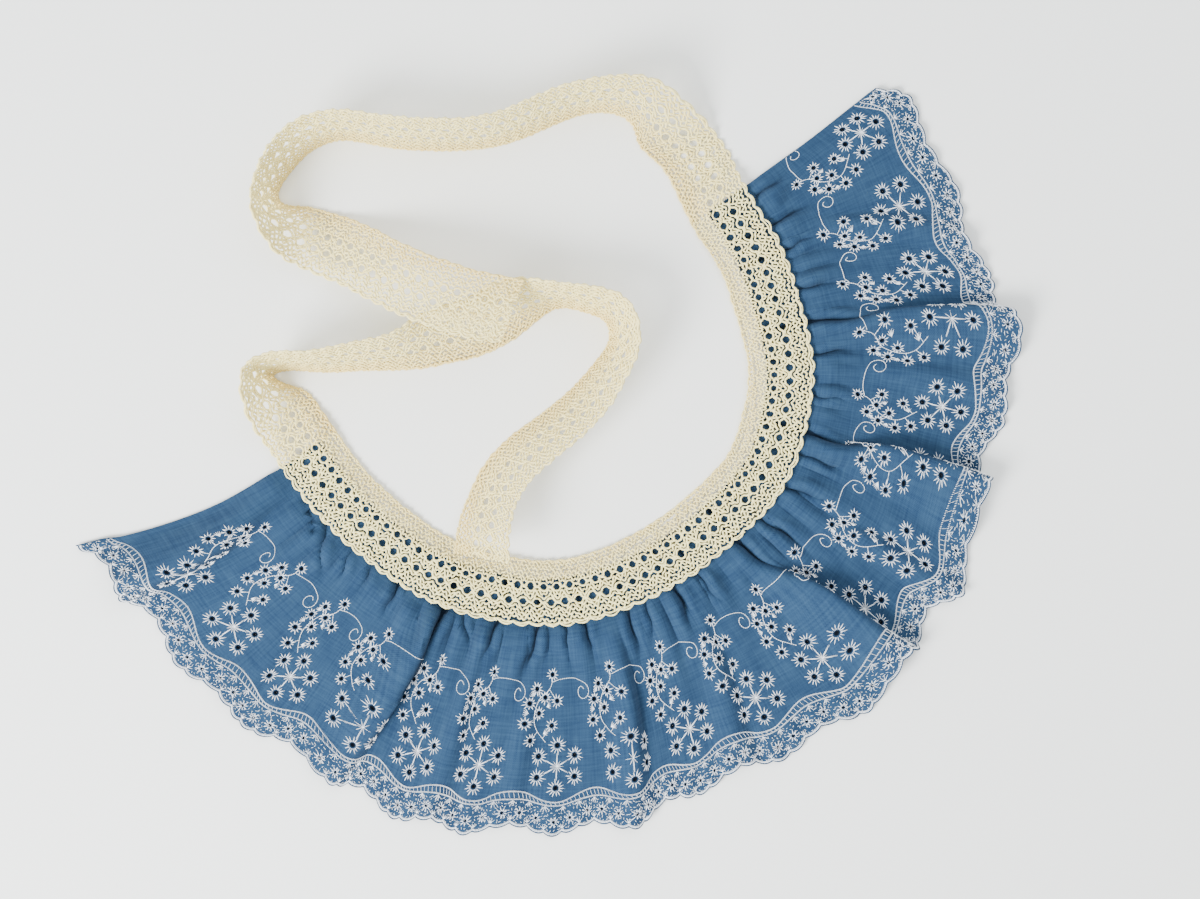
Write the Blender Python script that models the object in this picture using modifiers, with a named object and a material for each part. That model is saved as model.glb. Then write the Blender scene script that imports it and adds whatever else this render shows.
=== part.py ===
"""A dog cape laid flat: a gathered eyelet ruffle sewn under a lace band that runs on as two ties.

Tables and sizes are in millimetres, seen from above with +X to the right and +Y away from the hem.
"""

import math

import bmesh
import bpy
import numpy as np

MILLIMETRE = 0.001

CLOTH_WALL = 1.2
LACE_WALL = 1.5
SEAM_GAP = 0.3
LACE_WIDTH = 28.0

CLOTH_LENGTH = 737.0  # cut length of the ruffle, before gathering
UNDER_LACE = 17.0  # how far the gathered edge reaches under the lace
COVERED_SHARE = 0.16  # share of the ruffle's depth that lies under the lace

GATHERS = 38
GATHER_UNDER_LACE = 1.5
GATHER_PEAK = 3.4

FIRST_SCALLOP = 35.0  # from the ruffle's left end to the first whole scallop's middle, along the cloth
SCALLOP_PITCH = 38.0
SCALLOP_DEPTH = 3.4
HEM_ALLOWANCE = 1.5  # the hem's middle line lies this far outside its table

LACE_SEAT = CLOTH_WALL + GATHER_UNDER_LACE + SEAM_GAP + 0.2  # height of the lace over the gathers
SEAT_RUN_OUT = 16.0  # length in which the ties come down from that height
INNER_EDGE_WAVE = 1.6

CENTRE = (-1.09, -2.74)  # middle of the laid-out cape on the tables' axes

RUFFLE_COLUMNS = 228
RUFFLE_ROWS = (0.0, 0.08, 0.16, 0.205, 0.26, 0.33, 0.43, 0.55, 0.68, 0.81, 0.92, 1.0)
BAND_SECTIONS = 15
BAND_COLUMNS, BAND_STRIPS = 84, 6
TIE_COLUMNS, TIE_STRIPS = 90, 4

BLUE_CHAMBRAY = (0.10, 0.22, 0.42, 1.0)
CREAM_LACE = (0.80, 0.74, 0.58, 1.0)

# Outer edge of the neckband: x, y
NECK = (
    (-114.8, -5.6),
    (-103.2, -21.5),
    (-88.2, -37.4),
    (-71.0, -50.7),
    (-51.6, -62.8),
    (-27.9, -70.1),
    (-2.1, -73.5),
    (23.6, -69.2),
    (47.3, -59.8),
    (69.7, -45.1),
    (88.2, -28.8),
    (102.3, -10.8),
    (109.6, 9.9),
    (113.1, 32.2),
    (110.5, 53.8),
    (103.2, 78.7),
    (93.7, 100.2),
    (83.8, 115.2),
)

# Hem: share of the cloth's length, x, y, at each end and each scallop and twice between them
HEM = (
    (0.000, -200.8, -38.7),
    (0.049, -181.5, -57.2),
    (0.100, -157.4, -88.6),
    (0.152, -128.1, -115.2),
    (0.203, -95.9, -135.4),
    (0.255, -65.8, -153.1),
    (0.307, -35.7, -159.5),
    (0.358, 2.1, -160.0),
    (0.410, 36.1, -156.1),
    (0.461, 65.8, -141.9),
    (0.513, 99.8, -127.3),
    (0.565, 135.9, -106.6),
    (0.616, 155.2, -82.1),
    (0.640, 163.4, -67.5),
    (0.668, 174.6, -57.2),
    (0.719, 184.0, -18.9),
    (0.745, 186.5, -0.5),
    (0.771, 192.2, 15.0),
    (0.822, 198.7, 49.4),
    (0.874, 185.3, 79.5),
    (0.926, 172.0, 114.0),
    (0.977, 151.4, 152.7),
    (1.000, 141.0, 157.8),
)

# Folds: share at the neck, share at the hem, half width of cloth, height, lean of the crest,
# and where the fold starts between the lace at 0 and the hem at 1
FOLDS = (
    (0.020, 0.036, 22.0, 10.0, 8.0, 0.05),
    (0.120, 0.131, 13.0, 3.5, 3.0, 0.20),
    (0.199, 0.200, 17.0, 8.5, 10.0, 0.00),
    (0.278, 0.278, 12.0, 4.0, 4.0, 0.00),
    (0.335, 0.328, 11.0, 3.0, 3.0, 0.10),
    (0.413, 0.408, 15.0, 7.0, 8.0, 0.00),
    (0.500, 0.485, 13.0, 4.0, 4.0, 0.05),
    (0.570, 0.594, 20.0, 10.5, 15.0, 0.00),
    (0.645, 0.660, 12.0, 3.5, 3.0, 0.10),
    (0.704, 0.711, 18.0, 9.0, 13.0, 0.00),
    (0.785, 0.788, 12.0, 3.0, 3.0, 0.15),
    (0.825, 0.830, 18.0, 9.0, 12.0, 0.00),
    (0.942, 0.893, 13.0, 4.5, 5.0, 0.05),
)

# Right tie from the neckband out: middle x, y, direction to its outer edge and tilt in degrees,
# and height of its inner edge
TIE_RIGHT = (
    (60.2, 129.9, 28, 0, 0),
    (47.3, 142.3, 46, 28, 0),
    (38.7, 149.6, 70, 54, 0),
    (23.6, 152.2, 88, 72, 0),
    (4.7, 148.3, 104, 73, 0),
    (-20.6, 138.0, 106, 74, 0),
    (-46.0, 135.4, 93, 74, 0),
    (-71.4, 137.2, 86, 74, 0),
    (-90.3, 139.3, 98, 76, 0),
    (-106.2, 132.9, 134, 76, 0),
    (-116.5, 120.4, 163, 79, 0),
    (-120.0, 108.8, 188, 78, 0),
    (-115.7, 100.6, 226, 56, 0),
    (-105.8, 94.2, 238, 22, 0),
    (-86.9, 86.4, 247, 6, 4),
    (-58.9, 72.2, 252, 1, 20),
    (-36.1, 63.6, 254, 0, 25),
    (-14.6, 59.3, 250, 0, 25),
)

# Left tie from the neckband out: the same columns
TIE_LEFT = (
    (-114.0, 17.6, 217, 18, 0),
    (-120.4, 27.9, 192, 58, 0),
    (-122.5, 35.3, 150, 76, 0),
    (-115.7, 39.6, 106, 78, 0),
    (-100.6, 40.0, 92, 76, 0),
    (-83.8, 41.7, 95, 70, 0),
    (-62.8, 44.7, 100, 58, 0),
    (-47.3, 50.3, 106, 38, 0),
    (-31.0, 55.0, 110, 33, 0),
    (-17.2, 62.8, 112, 36, 0),
    (-0.9, 67.9, 108, 68, 0),
    (16.3, 66.2, 84, 72, 0),
    (29.2, 60.6, 45, 66, 0),
    (32.2, 48.6, 5, 62, 0),
    (26.7, 36.1, -27, 57, 0),
    (16.3, 21.9, -47, 50, 0),
    (-0.9, 7.3, -52, 47, 0),
    (-16.3, -6.5, -43, 43, 0),
    (-24.1, -20.6, -17, 40, 1),
    (-27.5, -34.4, -10, 33, 5),
    (-27.9, -43.4, -8, 28, 7),
)


def smooth_step(values):
    """0 up to 0, 1 from 1 on, and an S between them."""
    clipped = np.clip(values, 0.0, 1.0)
    return clipped * clipped * (3.0 - 2.0 * clipped)


def natural_spline(knots, values, at):
    """Cubic spline through the rows of values, with no bend at its ends."""
    steps = np.diff(knots)
    slopes = np.diff(values, axis=0) / steps[:, None]
    matrix = np.eye(len(knots))
    right = np.zeros_like(values)
    for i in range(1, len(knots) - 1):
        matrix[i, i - 1 : i + 2] = steps[i - 1], 2.0 * (steps[i - 1] + steps[i]), steps[i]
        right[i] = 6.0 * (slopes[i] - slopes[i - 1])
    bends = np.linalg.solve(matrix, right)
    i = np.clip(np.searchsorted(knots, at, side="right") - 1, 0, len(knots) - 2)
    step = steps[i][:, None]
    past = (at - knots[i])[:, None]
    left = step - past
    curve = (bends[i] * left**3 + bends[i + 1] * past**3) / (6.0 * step)
    curve += (values[i] / step - bends[i] * step / 6.0) * left
    return curve + (values[i + 1] / step - bends[i + 1] * step / 6.0) * past


def chords(points):
    """Running length along the points."""
    return np.concatenate([[0.0], np.cumsum(np.linalg.norm(np.diff(points, axis=0), axis=1))])


def unit(vectors):
    return vectors / np.linalg.norm(vectors, axis=-1, keepdims=True)


class Curve:
    """A smooth curve through a table's rows, read by its share of length or by a share column."""

    def __init__(self, rows, knots=None):
        self.values = np.array(rows, dtype=float)
        self.knots = chords(self.values[:, :2]) if knots is None else np.array(knots, dtype=float)
        dense = np.linspace(self.knots[0], self.knots[-1], 4001)
        run = chords(natural_spline(self.knots, self.values, dense)[:, :2])
        self.length = run[-1]
        self.dense, self.run = dense, run

    def at_knot(self, knot):
        return natural_spline(self.knots, self.values, np.asarray(knot, dtype=float))

    def at_share(self, share):
        return self.at_knot(np.interp(np.asarray(share) * self.length, self.run, self.dense))

    def heading(self, share):
        ahead = self.at_share(np.minimum(share + 1e-3, 1.0))
        behind = self.at_share(np.maximum(share - 1e-3, 0.0))
        return unit((ahead - behind)[:, :2])


NECK_CURVE = Curve(NECK)
HEM_CURVE = Curve([row[1:] for row in HEM], [row[0] for row in HEM])


def neck_frame(share):
    """Point on the neckband's outer edge, and the direction away from the neck opening there."""
    heading = NECK_CURVE.heading(share)
    return NECK_CURVE.at_share(share), np.stack([heading[:, 1], -heading[:, 0]], axis=1)


def gather_height(share, past):
    """Height of the small gathers: highest just outside the lace, fading into smooth cloth."""
    drift = 0.32 * np.sin(19.0 * share + 1.0) + 0.22 * np.sin(47.0 * share + 2.0)
    phase = 2.0 * math.pi * (GATHERS * share + drift)
    ridge = (0.5 + 0.5 * np.cos(phase)) ** 1.3
    reach = 0.42 + 0.18 * np.sin(31.0 * share) + 0.10 * np.sin(83.0 * share + 1.0)
    rise = GATHER_UNDER_LACE + (GATHER_PEAK - GATHER_UNDER_LACE) * smooth_step(past / 0.12)
    fade = 1.0 - smooth_step((past - 0.04) / reach)
    return np.where(past > 0.0, rise * fade, GATHER_UNDER_LACE) * ridge


def fold_bumps(share, past):
    """Height of the folds, and how far their crests lean, as a share of the cloth's length."""
    height = np.zeros_like(share)
    drift = np.zeros_like(share)
    for neck_share, hem_share, half_width, fold_height, lean, start in FOLDS:
        centre = neck_share + (hem_share - neck_share) * past
        reach = half_width * (0.5 + 0.5 * past)
        across = np.clip((share - centre) * CLOTH_LENGTH / reach, -1.0, 1.0)
        bump = (0.5 + 0.5 * np.cos(math.pi * across)) * smooth_step((past - start) / 0.55)
        height += fold_height * bump
        drift += lean / CLOTH_LENGTH * bump
    return height, drift


def ruffle_underside(share, depth):
    """Points of the ruffle's underside. Depth runs from the gathered edge at 0 to the hem at 1."""
    past = np.clip((depth - COVERED_SHARE) / (1.0 - COVERED_SHARE), 0.0, 1.0)
    height, drift = fold_bumps(share, past)
    height += gather_height(share, past)
    scallop = np.cos(2.0 * math.pi * (share * CLOTH_LENGTH - FIRST_SCALLOP) / SCALLOP_PITCH)
    jut = HEM_ALLOWANCE + 0.5 * SCALLOP_DEPTH * scallop * past**10

    placed = np.minimum(share + drift, 1.0)
    past = past[:, None]
    neck, away = neck_frame(placed)
    hem = HEM_CURVE.at_knot(placed)
    middle = neck + away * np.linalg.norm(hem - neck, axis=1, keepdims=True) * 0.42
    flat = (1.0 - past) ** 2 * neck + 2.0 * past * (1.0 - past) * middle + past**2 * hem
    flat += unit(hem - middle) * jut[:, None] * past**2
    hidden = np.clip(1.0 - depth / COVERED_SHARE, 0.0, 1.0)[:, None]
    return np.column_stack([flat - away * UNDER_LACE * hidden, height])


def lace_curve():
    """The whole lace from the end of the left tie, through the neckband, to the end of the right tie."""
    outer, away = neck_frame(np.linspace(0.0, 1.0, BAND_SECTIONS))
    centres = outer - away * LACE_WIDTH / 2.0
    azimuths = np.degrees(np.unwrap(np.arctan2(away[:, 1], away[:, 0]))) + 360.0
    band = np.column_stack([centres, azimuths, np.zeros((BAND_SECTIONS, 2))])
    left = np.array(TIE_LEFT[::-1], dtype=float)
    right = np.array(TIE_RIGHT, dtype=float)
    right[:, 2] += 360.0
    curve = Curve(np.concatenate([left, band, right]))
    return curve, curve.knots[len(left)], curve.knots[len(left) + BAND_SECTIONS - 1]


LACE_CURVE, BAND_START, BAND_END = lace_curve()


def lace_underside(knot, across):
    """Points of the lace's underside. Across runs from its inner edge at 0 to its outer edge at 1."""
    x, y, azimuth, tilt, lift = LACE_CURVE.at_knot(knot).T
    azimuth, tilt = np.radians(azimuth), np.radians(np.maximum(tilt, 0.0))
    past_end = np.maximum(BAND_START - knot, knot - BAND_END)
    on_ruffle = 1.0 - smooth_step((past_end - 1.0) / SEAT_RUN_OUT)
    wave = (0.5 + 0.5 * np.sin(knot / 13.0) * np.sin(knot / 31.0 + 1.0)) * INNER_EDGE_WAVE
    seat = LACE_SEAT * smooth_step(across / 0.36) + wave * (1.0 - smooth_step(across / 0.4))
    rise = np.maximum(lift, 0.0) + on_ruffle * seat
    run = (across - 0.5) * LACE_WIDTH * np.cos(tilt)
    height = across * LACE_WIDTH * np.sin(tilt) + rise
    return np.column_stack([x + np.cos(azimuth) * run, y + np.sin(azimuth) * run, height])


def material(name, colour, roughness):
    made = bpy.data.materials.new(name)
    made.use_nodes = True
    shader = made.node_tree.nodes["Principled BSDF"]
    shader.inputs["Base Color"].default_value = colour
    shader.inputs["Roughness"].default_value = roughness
    shader.inputs["Metallic"].default_value = 0.0
    made.diffuse_color = colour
    return made


def cloth_piece(name, columns, rows, underside, wall, finish, collection):
    """A sheet over its underside's points, thickened upwards. Columns run along it and rows across it."""
    mesh = bpy.data.meshes.new(name)
    net = bmesh.new()
    bmesh.ops.create_grid(net, x_segments=len(columns) - 1, y_segments=len(rows) - 1, size=0.5)
    net.verts.ensure_lookup_table()
    spot = np.array([vertex.co[:2] for vertex in net.verts]) + 0.5
    along = np.asarray(columns)[np.rint(spot[:, 0] * (len(columns) - 1)).astype(int)]
    across = np.asarray(rows)[np.rint((1.0 - spot[:, 1]) * (len(rows) - 1)).astype(int)]
    points = underside(along, across) - np.array([*CENTRE, 0.0])
    for vertex, point in zip(net.verts, points * MILLIMETRE):
        vertex.co = point
    net.to_mesh(mesh)
    net.free()
    mesh.materials.append(finish)
    mesh.shade_smooth()
    piece = bpy.data.objects.new(name, mesh)
    collection.objects.link(piece)
    shell = piece.modifiers.new("Wall", "SOLIDIFY")
    shell.thickness = wall * MILLIMETRE
    shell.offset = 1.0
    return piece


def main():
    for thing in list(bpy.data.objects):
        bpy.data.objects.remove(thing, do_unlink=True)
    cape = bpy.data.collections.new("Dog cape")
    bpy.context.scene.collection.children.link(cape)

    chambray = material("Blue chambray", BLUE_CHAMBRAY, 0.85)
    lace = material("Cream cotton lace", CREAM_LACE, 0.80)

    cloth_piece("ruffle", np.linspace(0.0, 1.0, RUFFLE_COLUMNS + 1), RUFFLE_ROWS, ruffle_underside,
                CLOTH_WALL, chambray, cape)

    across_band = np.linspace(0.0, 1.0, BAND_STRIPS + 1)
    across_tie = np.linspace(0.0, 1.0, TIE_STRIPS + 1)
    half_gap = 0.9 * SEAM_GAP  # the walls' ends lean a little towards each other
    stretches = (
        ("tie_left", LACE_CURVE.knots[0], BAND_START - half_gap, TIE_COLUMNS, across_tie),
        ("neckband", BAND_START + half_gap, BAND_END - half_gap, BAND_COLUMNS, across_band),
        ("tie_right", BAND_END + half_gap, LACE_CURVE.knots[-1], TIE_COLUMNS, across_tie),
    )
    for name, start, end, columns, rows in stretches:
        cloth_piece(name, np.linspace(start, end, columns + 1), rows, lace_underside, LACE_WALL, lace, cape)


if __name__ == "__main__":
    main()
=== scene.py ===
"""The looks of a dog cape laid flat: an eyelet ruffle gathered under a lace band that runs on as two ties.

Sizes are in millimetres until a mesh is made, and the frame's own units are metres. On the tables' axes +X
is to the right and +Y away from the hem, as in the solids' source.
"""
import logging
import math
from collections.abc import Callable, Sequence
from dataclasses import dataclass, field
from enum import Enum
from typing import NamedTuple

import bpy
import numpy as np
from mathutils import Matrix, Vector
from mathutils.geometry import delaunay_2d_cdt


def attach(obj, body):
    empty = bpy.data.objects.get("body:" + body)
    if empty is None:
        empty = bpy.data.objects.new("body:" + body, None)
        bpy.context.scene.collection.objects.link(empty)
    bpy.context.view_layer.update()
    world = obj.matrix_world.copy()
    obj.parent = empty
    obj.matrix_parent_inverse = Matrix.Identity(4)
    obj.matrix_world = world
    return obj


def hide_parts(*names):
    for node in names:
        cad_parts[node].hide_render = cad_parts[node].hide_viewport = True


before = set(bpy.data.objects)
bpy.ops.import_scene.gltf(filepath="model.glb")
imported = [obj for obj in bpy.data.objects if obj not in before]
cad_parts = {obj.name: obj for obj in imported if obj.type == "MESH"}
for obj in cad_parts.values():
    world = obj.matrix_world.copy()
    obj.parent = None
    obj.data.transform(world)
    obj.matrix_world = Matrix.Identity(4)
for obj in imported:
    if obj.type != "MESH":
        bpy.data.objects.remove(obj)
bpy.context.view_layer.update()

LOG = logging.getLogger("dog_cape")
MILLIMETRE = 0.001
FULL_TURN = 2.0 * math.pi
Table = tuple[tuple[float, ...], ...]
Colour = tuple[float, float, float, float]
Place = tuple[float, float, float]
Places = tuple[np.ndarray, np.ndarray] | np.ndarray
Heights = Callable[[np.ndarray, np.ndarray], np.ndarray]
Socket = bpy.types.NodeSocket


# Numbers and curves


def smooth_step(values: np.ndarray) -> np.ndarray:
    """An even rise from 0 to 1, level at both ends.

    Args:
        values: positions, of which 0 to 1 is the rise.

    Returns:
        The height at each position.
    """
    clipped = np.clip(values, 0.0, 1.0)
    return clipped * clipped * (3.0 - 2.0 * clipped)


def ripples(at: np.ndarray, waves: Table, level: float = 0.0) -> np.ndarray:
    """Slow unevenness, the sum of a few waves.

    Args:
        at: the positions to read.
        waves: strength, pace and start of each wave.
        level: the height that the waves run about.

    Returns:
        The height at each position.
    """
    return sum((strength * np.sin(pace * at + start) for strength, pace, start in waves), level)


def unit(vectors: np.ndarray) -> np.ndarray:
    """The vectors of each row made one long."""
    return vectors / np.maximum(np.linalg.norm(vectors, axis=-1, keepdims=True), 1e-9)


def chords(points: np.ndarray) -> np.ndarray:
    """The running length along the points, starting at 0."""
    return np.concatenate([[0.0], np.cumsum(np.linalg.norm(np.diff(points, axis=0), axis=1))])


def natural_spline(knots: np.ndarray, values: np.ndarray, at: np.ndarray) -> np.ndarray:
    """A cubic spline with no bend at its ends.

    Args:
        knots: rising positions, one for each row of values.
        values: the rows that the spline passes through.
        at: the positions to read.

    Returns:
        One row for each position read.
    """
    steps = np.diff(knots)
    slopes = np.diff(values, axis=0) / steps[:, None]
    matrix = np.eye(len(knots))
    right = np.zeros_like(values)
    for i in range(1, len(knots) - 1):
        matrix[i, i - 1 : i + 2] = steps[i - 1], 2.0 * (steps[i - 1] + steps[i]), steps[i]
        right[i] = 6.0 * (slopes[i] - slopes[i - 1])
    bends = np.linalg.solve(matrix, right)
    i = np.clip(np.searchsorted(knots, at, side="right") - 1, 0, len(knots) - 2)
    step = steps[i][:, None]
    past = (at - knots[i])[:, None]
    left = step - past
    curve = (bends[i] * left**3 + bends[i + 1] * past**3) / (6.0 * step)
    curve += (values[i] / step - bends[i] * step / 6.0) * left
    return curve + (values[i + 1] / step - bends[i + 1] * step / 6.0) * past


def smoothed(rows: Table, count: int) -> np.ndarray:
    """Points spread evenly along a smooth line.

    Args:
        rows: the points that the line passes through.
        count: how many points to give.

    Returns:
        One row for each point.
    """
    knots = chords(np.array(rows))
    return natural_spline(knots, np.array(rows), np.linspace(0.0, knots[-1], count))


class Curve:
    """A smooth curve through a table's rows, read by its share of length or by a share column."""

    SAMPLES = 4001
    LOOK_AROUND = 1e-3

    def __init__(self, rows: Sequence[Sequence[float]], knots: Sequence[float] | None = None) -> None:
        """Works out the curve's knots and its length.

        Args:
            rows: the table's rows, which start with x and y.
            knots: the position of each row, or None for the length between them.
        """
        self.values = np.array(rows, dtype=float)
        self.knots = chords(self.values[:, :2]) if knots is None else np.array(knots, dtype=float)
        self.dense = np.linspace(self.knots[0], self.knots[-1], self.SAMPLES)
        self.run = chords(self.at_knot(self.dense)[:, :2])
        self.length = float(self.run[-1])

    def at_knot(self, knot: np.ndarray) -> np.ndarray:
        """The rows at positions on the knots' own scale."""
        return natural_spline(self.knots, self.values, np.asarray(knot, dtype=float))

    def at_share(self, share: np.ndarray) -> np.ndarray:
        """The rows at shares of the curve's length."""
        return self.at_knot(np.interp(np.asarray(share) * self.length, self.run, self.dense))

    def heading(self, share: np.ndarray) -> np.ndarray:
        """The direction along the curve, seen from above.

        Args:
            share: shares of the curve's length.

        Returns:
            One direction, x and y, for each share.
        """
        ahead = self.at_share(np.minimum(share + self.LOOK_AROUND, 1.0))
        behind = self.at_share(np.maximum(share - self.LOOK_AROUND, 0.0))
        return unit((ahead - behind)[:, :2])


# The laid-out form, which the solids share

# Middle of the laid-out cape on the tables' axes
CENTRE = np.array([-1.09, -2.74, 0.0])

# Outer edge of the neckband: x, y
NECK: Table = (
    (-114.8, -5.6),
    (-103.2, -21.5),
    (-88.2, -37.4),
    (-71.0, -50.7),
    (-51.6, -62.8),
    (-27.9, -70.1),
    (-2.1, -73.5),
    (23.6, -69.2),
    (47.3, -59.8),
    (69.7, -45.1),
    (88.2, -28.8),
    (102.3, -10.8),
    (109.6, 9.9),
    (113.1, 32.2),
    (110.5, 53.8),
    (103.2, 78.7),
    (93.7, 100.2),
    (83.8, 115.2),
)

# Hem: share of the cloth's length, x, y, at each end and each scallop and twice between them
HEM: Table = (
    (0.000, -200.8, -38.7),
    (0.049, -181.5, -57.2),
    (0.100, -157.4, -88.6),
    (0.152, -128.1, -115.2),
    (0.203, -95.9, -135.4),
    (0.255, -65.8, -153.1),
    (0.307, -35.7, -159.5),
    (0.358, 2.1, -160.0),
    (0.410, 36.1, -156.1),
    (0.461, 65.8, -141.9),
    (0.513, 99.8, -127.3),
    (0.565, 135.9, -106.6),
    (0.616, 155.2, -82.1),
    (0.640, 163.4, -67.5),
    (0.668, 174.6, -57.2),
    (0.719, 184.0, -18.9),
    (0.745, 186.5, -0.5),
    (0.771, 192.2, 15.0),
    (0.822, 198.7, 49.4),
    (0.874, 185.3, 79.5),
    (0.926, 172.0, 114.0),
    (0.977, 151.4, 152.7),
    (1.000, 141.0, 157.8),
)

# Folds: share at the neck, share at the hem, half width of cloth, height, lean of the crest,
# where the fold starts between the lace at 0 and the hem at 1, and how much of it is left at the hem
FOLDS: Table = (
    (0.020, 0.036, 22.0, 10.0, 8.0, 0.05, 1.0),
    (0.120, 0.131, 13.0, 3.0, 1.0, 0.20, 1.0),
    (0.222, 0.199, 17.0, 8.5, 11.0, -0.15, 0.45),
    (0.278, 0.278, 12.0, 3.2, 1.0, 0.00, 0.8),
    (0.335, 0.328, 11.0, 2.6, 0.5, 0.10, 0.8),
    (0.413, 0.408, 15.0, 6.0, 4.0, 0.00, 0.7),
    (0.500, 0.485, 13.0, 3.4, 1.0, 0.05, 1.0),
    (0.570, 0.594, 20.0, 10.5, 15.0, 0.00, 0.83),
    (0.645, 0.660, 12.0, 3.0, 0.8, 0.10, 1.0),
    (0.704, 0.711, 18.0, 9.0, 13.0, 0.00, 1.0),
    (0.785, 0.788, 12.0, 2.6, 0.8, 0.15, 1.0),
    (0.820, 0.826, 18.0, 8.5, 9.0, 0.00, 1.0),
    (0.942, 0.893, 13.0, 3.6, 1.0, 0.05, 1.0),
)

# Tight creases of the gathering: share at the lace, where it ends as a share and between lace 0 and hem 1,
# half width of cloth and depth
CREASES: Table = (
    (0.045, 0.086, 0.10, 2.0, 1.6),
    (0.077, 0.112, 0.24, 2.6, 1.3),
    (0.116, 0.126, 0.18, 2.0, 1.2),
    (0.144, 0.149, 0.14, 2.2, 1.5),
    (0.180, 0.182, 0.19, 2.6, 2.6),
    (0.236, 0.206, 0.62, 3.0, 3.8),
    (0.254, 0.269, 0.15, 2.0, 1.6),
    (0.294, 0.286, 0.22, 2.8, 3.0),
    (0.339, 0.326, 0.30, 2.6, 3.2),
    (0.368, 0.367, 0.14, 2.0, 1.8),
    (0.387, 0.389, 0.16, 2.2, 2.4),
    (0.436, 0.434, 0.32, 2.4, 2.4),
    (0.458, 0.453, 0.22, 2.0, 1.8),
    (0.493, 0.488, 0.25, 2.6, 2.6),
    (0.521, 0.525, 0.22, 2.4, 2.2),
    (0.576, 0.580, 0.40, 3.0, 3.4),
    (0.611, 0.619, 0.27, 2.4, 2.6),
    (0.655, 0.666, 0.26, 2.4, 2.2),
    (0.693, 0.695, 0.32, 2.2, 2.0),
    (0.718, 0.704, 0.45, 3.0, 3.4),
    (0.758, 0.759, 0.23, 2.2, 2.0),
    (0.803, 0.804, 0.33, 2.2, 2.2),
    (0.839, 0.824, 0.45, 3.0, 3.4),
    (0.874, 0.875, 0.21, 2.2, 2.0),
    (0.919, 0.922, 0.22, 2.4, 2.6),
    (0.950, 0.949, 0.34, 2.4, 2.4),
    (0.984, 0.984, 0.26, 2.0, 1.8),
)

# Right tie from the neckband out: middle x, y, direction to its outer edge and tilt in degrees,
# and height of its inner edge
TIE_RIGHT: Table = (
    (60.2, 129.9, 28, 0, 0),
    (47.3, 142.3, 46, 28, 0),
    (38.7, 149.6, 70, 54, 0),
    (23.6, 152.2, 88, 72, 0),
    (4.7, 148.3, 104, 73, 0),
    (-20.6, 138.0, 106, 74, 0),
    (-46.0, 135.4, 93, 74, 0),
    (-71.4, 137.2, 86, 74, 0),
    (-90.3, 139.3, 98, 76, 0),
    (-106.2, 132.9, 134, 76, 0),
    (-116.5, 120.4, 163, 79, 0),
    (-120.0, 108.8, 188, 78, 0),
    (-115.7, 100.6, 226, 56, 0),
    (-105.8, 94.2, 238, 22, 0),
    (-86.9, 86.4, 247, 6, 4),
    (-58.9, 72.2, 252, 1, 20),
    (-36.1, 63.6, 254, 0, 25),
    (-14.6, 59.3, 250, 0, 25),
)

# Left tie from the neckband out, with the same columns
TIE_LEFT: Table = (
    (-114.0, 17.6, 217, 18, 0),
    (-120.4, 27.9, 192, 58, 0),
    (-122.5, 35.3, 150, 76, 0),
    (-115.7, 39.6, 106, 78, 0),
    (-100.6, 40.0, 92, 76, 0),
    (-83.8, 41.7, 95, 70, 0),
    (-62.8, 44.7, 100, 58, 0),
    (-47.3, 50.3, 106, 38, 0),
    (-31.0, 55.0, 110, 33, 0),
    (-17.2, 62.8, 112, 36, 0),
    (-0.9, 67.9, 108, 68, 0),
    (16.3, 66.2, 84, 72, 0),
    (29.2, 60.6, 45, 66, 0),
    (32.2, 48.6, 5, 62, 0),
    (26.7, 36.1, -27, 57, 0),
    (16.3, 21.9, -47, 50, 0),
    (-0.9, 7.3, -52, 47, 0),
    (-16.3, -6.5, -43, 43, 0),
    (-24.1, -20.6, -17, 40, 1),
    (-27.5, -34.4, -10, 33, 5),
    (-27.9, -43.4, -8, 28, 7),
)


@dataclass(frozen=True)
class RuffleCut:
    """The flat cut of the ruffle, in millimetres."""

    length: float = 737.0
    depth: float = 105.0
    under_lace: float = 17.0
    first_scallop: float = 35.0
    scallop_pitch: float = 38.0
    scallop_depth: float = 4.8
    small_scallops: int = 5
    small_scallop_depth: float = 1.5
    small_scallop_sharpness: float = 0.7

    def scallop_turn(self, along: np.ndarray) -> np.ndarray:
        """The angle through the scallops, a full turn each, from the middle of one."""
        return FULL_TURN * (along - self.first_scallop) / self.scallop_pitch

    def hem_edge(self, along: np.ndarray) -> np.ndarray:
        """How deep the cut cloth reaches: scallops with smaller ones along their edge.

        Args:
            along: positions along the cloth in millimetres.

        Returns:
            The depth of the cut edge in millimetres.
        """
        turn = self.scallop_turn(along)
        small = np.abs(np.cos(0.5 * self.small_scallops * turn)) ** self.small_scallop_sharpness
        large = 0.5 * self.scallop_depth * np.cos(turn)
        return self.depth + large - self.small_scallop_depth * (1.0 - small)


@dataclass(frozen=True)
class LaceCut:
    """The lace's width and how it lies on the ruffle, in millimetres."""

    width: float = 28.0
    wall: float = 1.5
    seat: float = 3.2
    seat_share: float = 0.36
    seat_margin: float = 1.0
    seat_run_out: float = 16.0
    inner_edge_wave: float = 1.6
    wave_share: float = 0.4
    wave_lengths: tuple[float, float] = (13.0, 31.0)
    band_sections: int = 15


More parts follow.
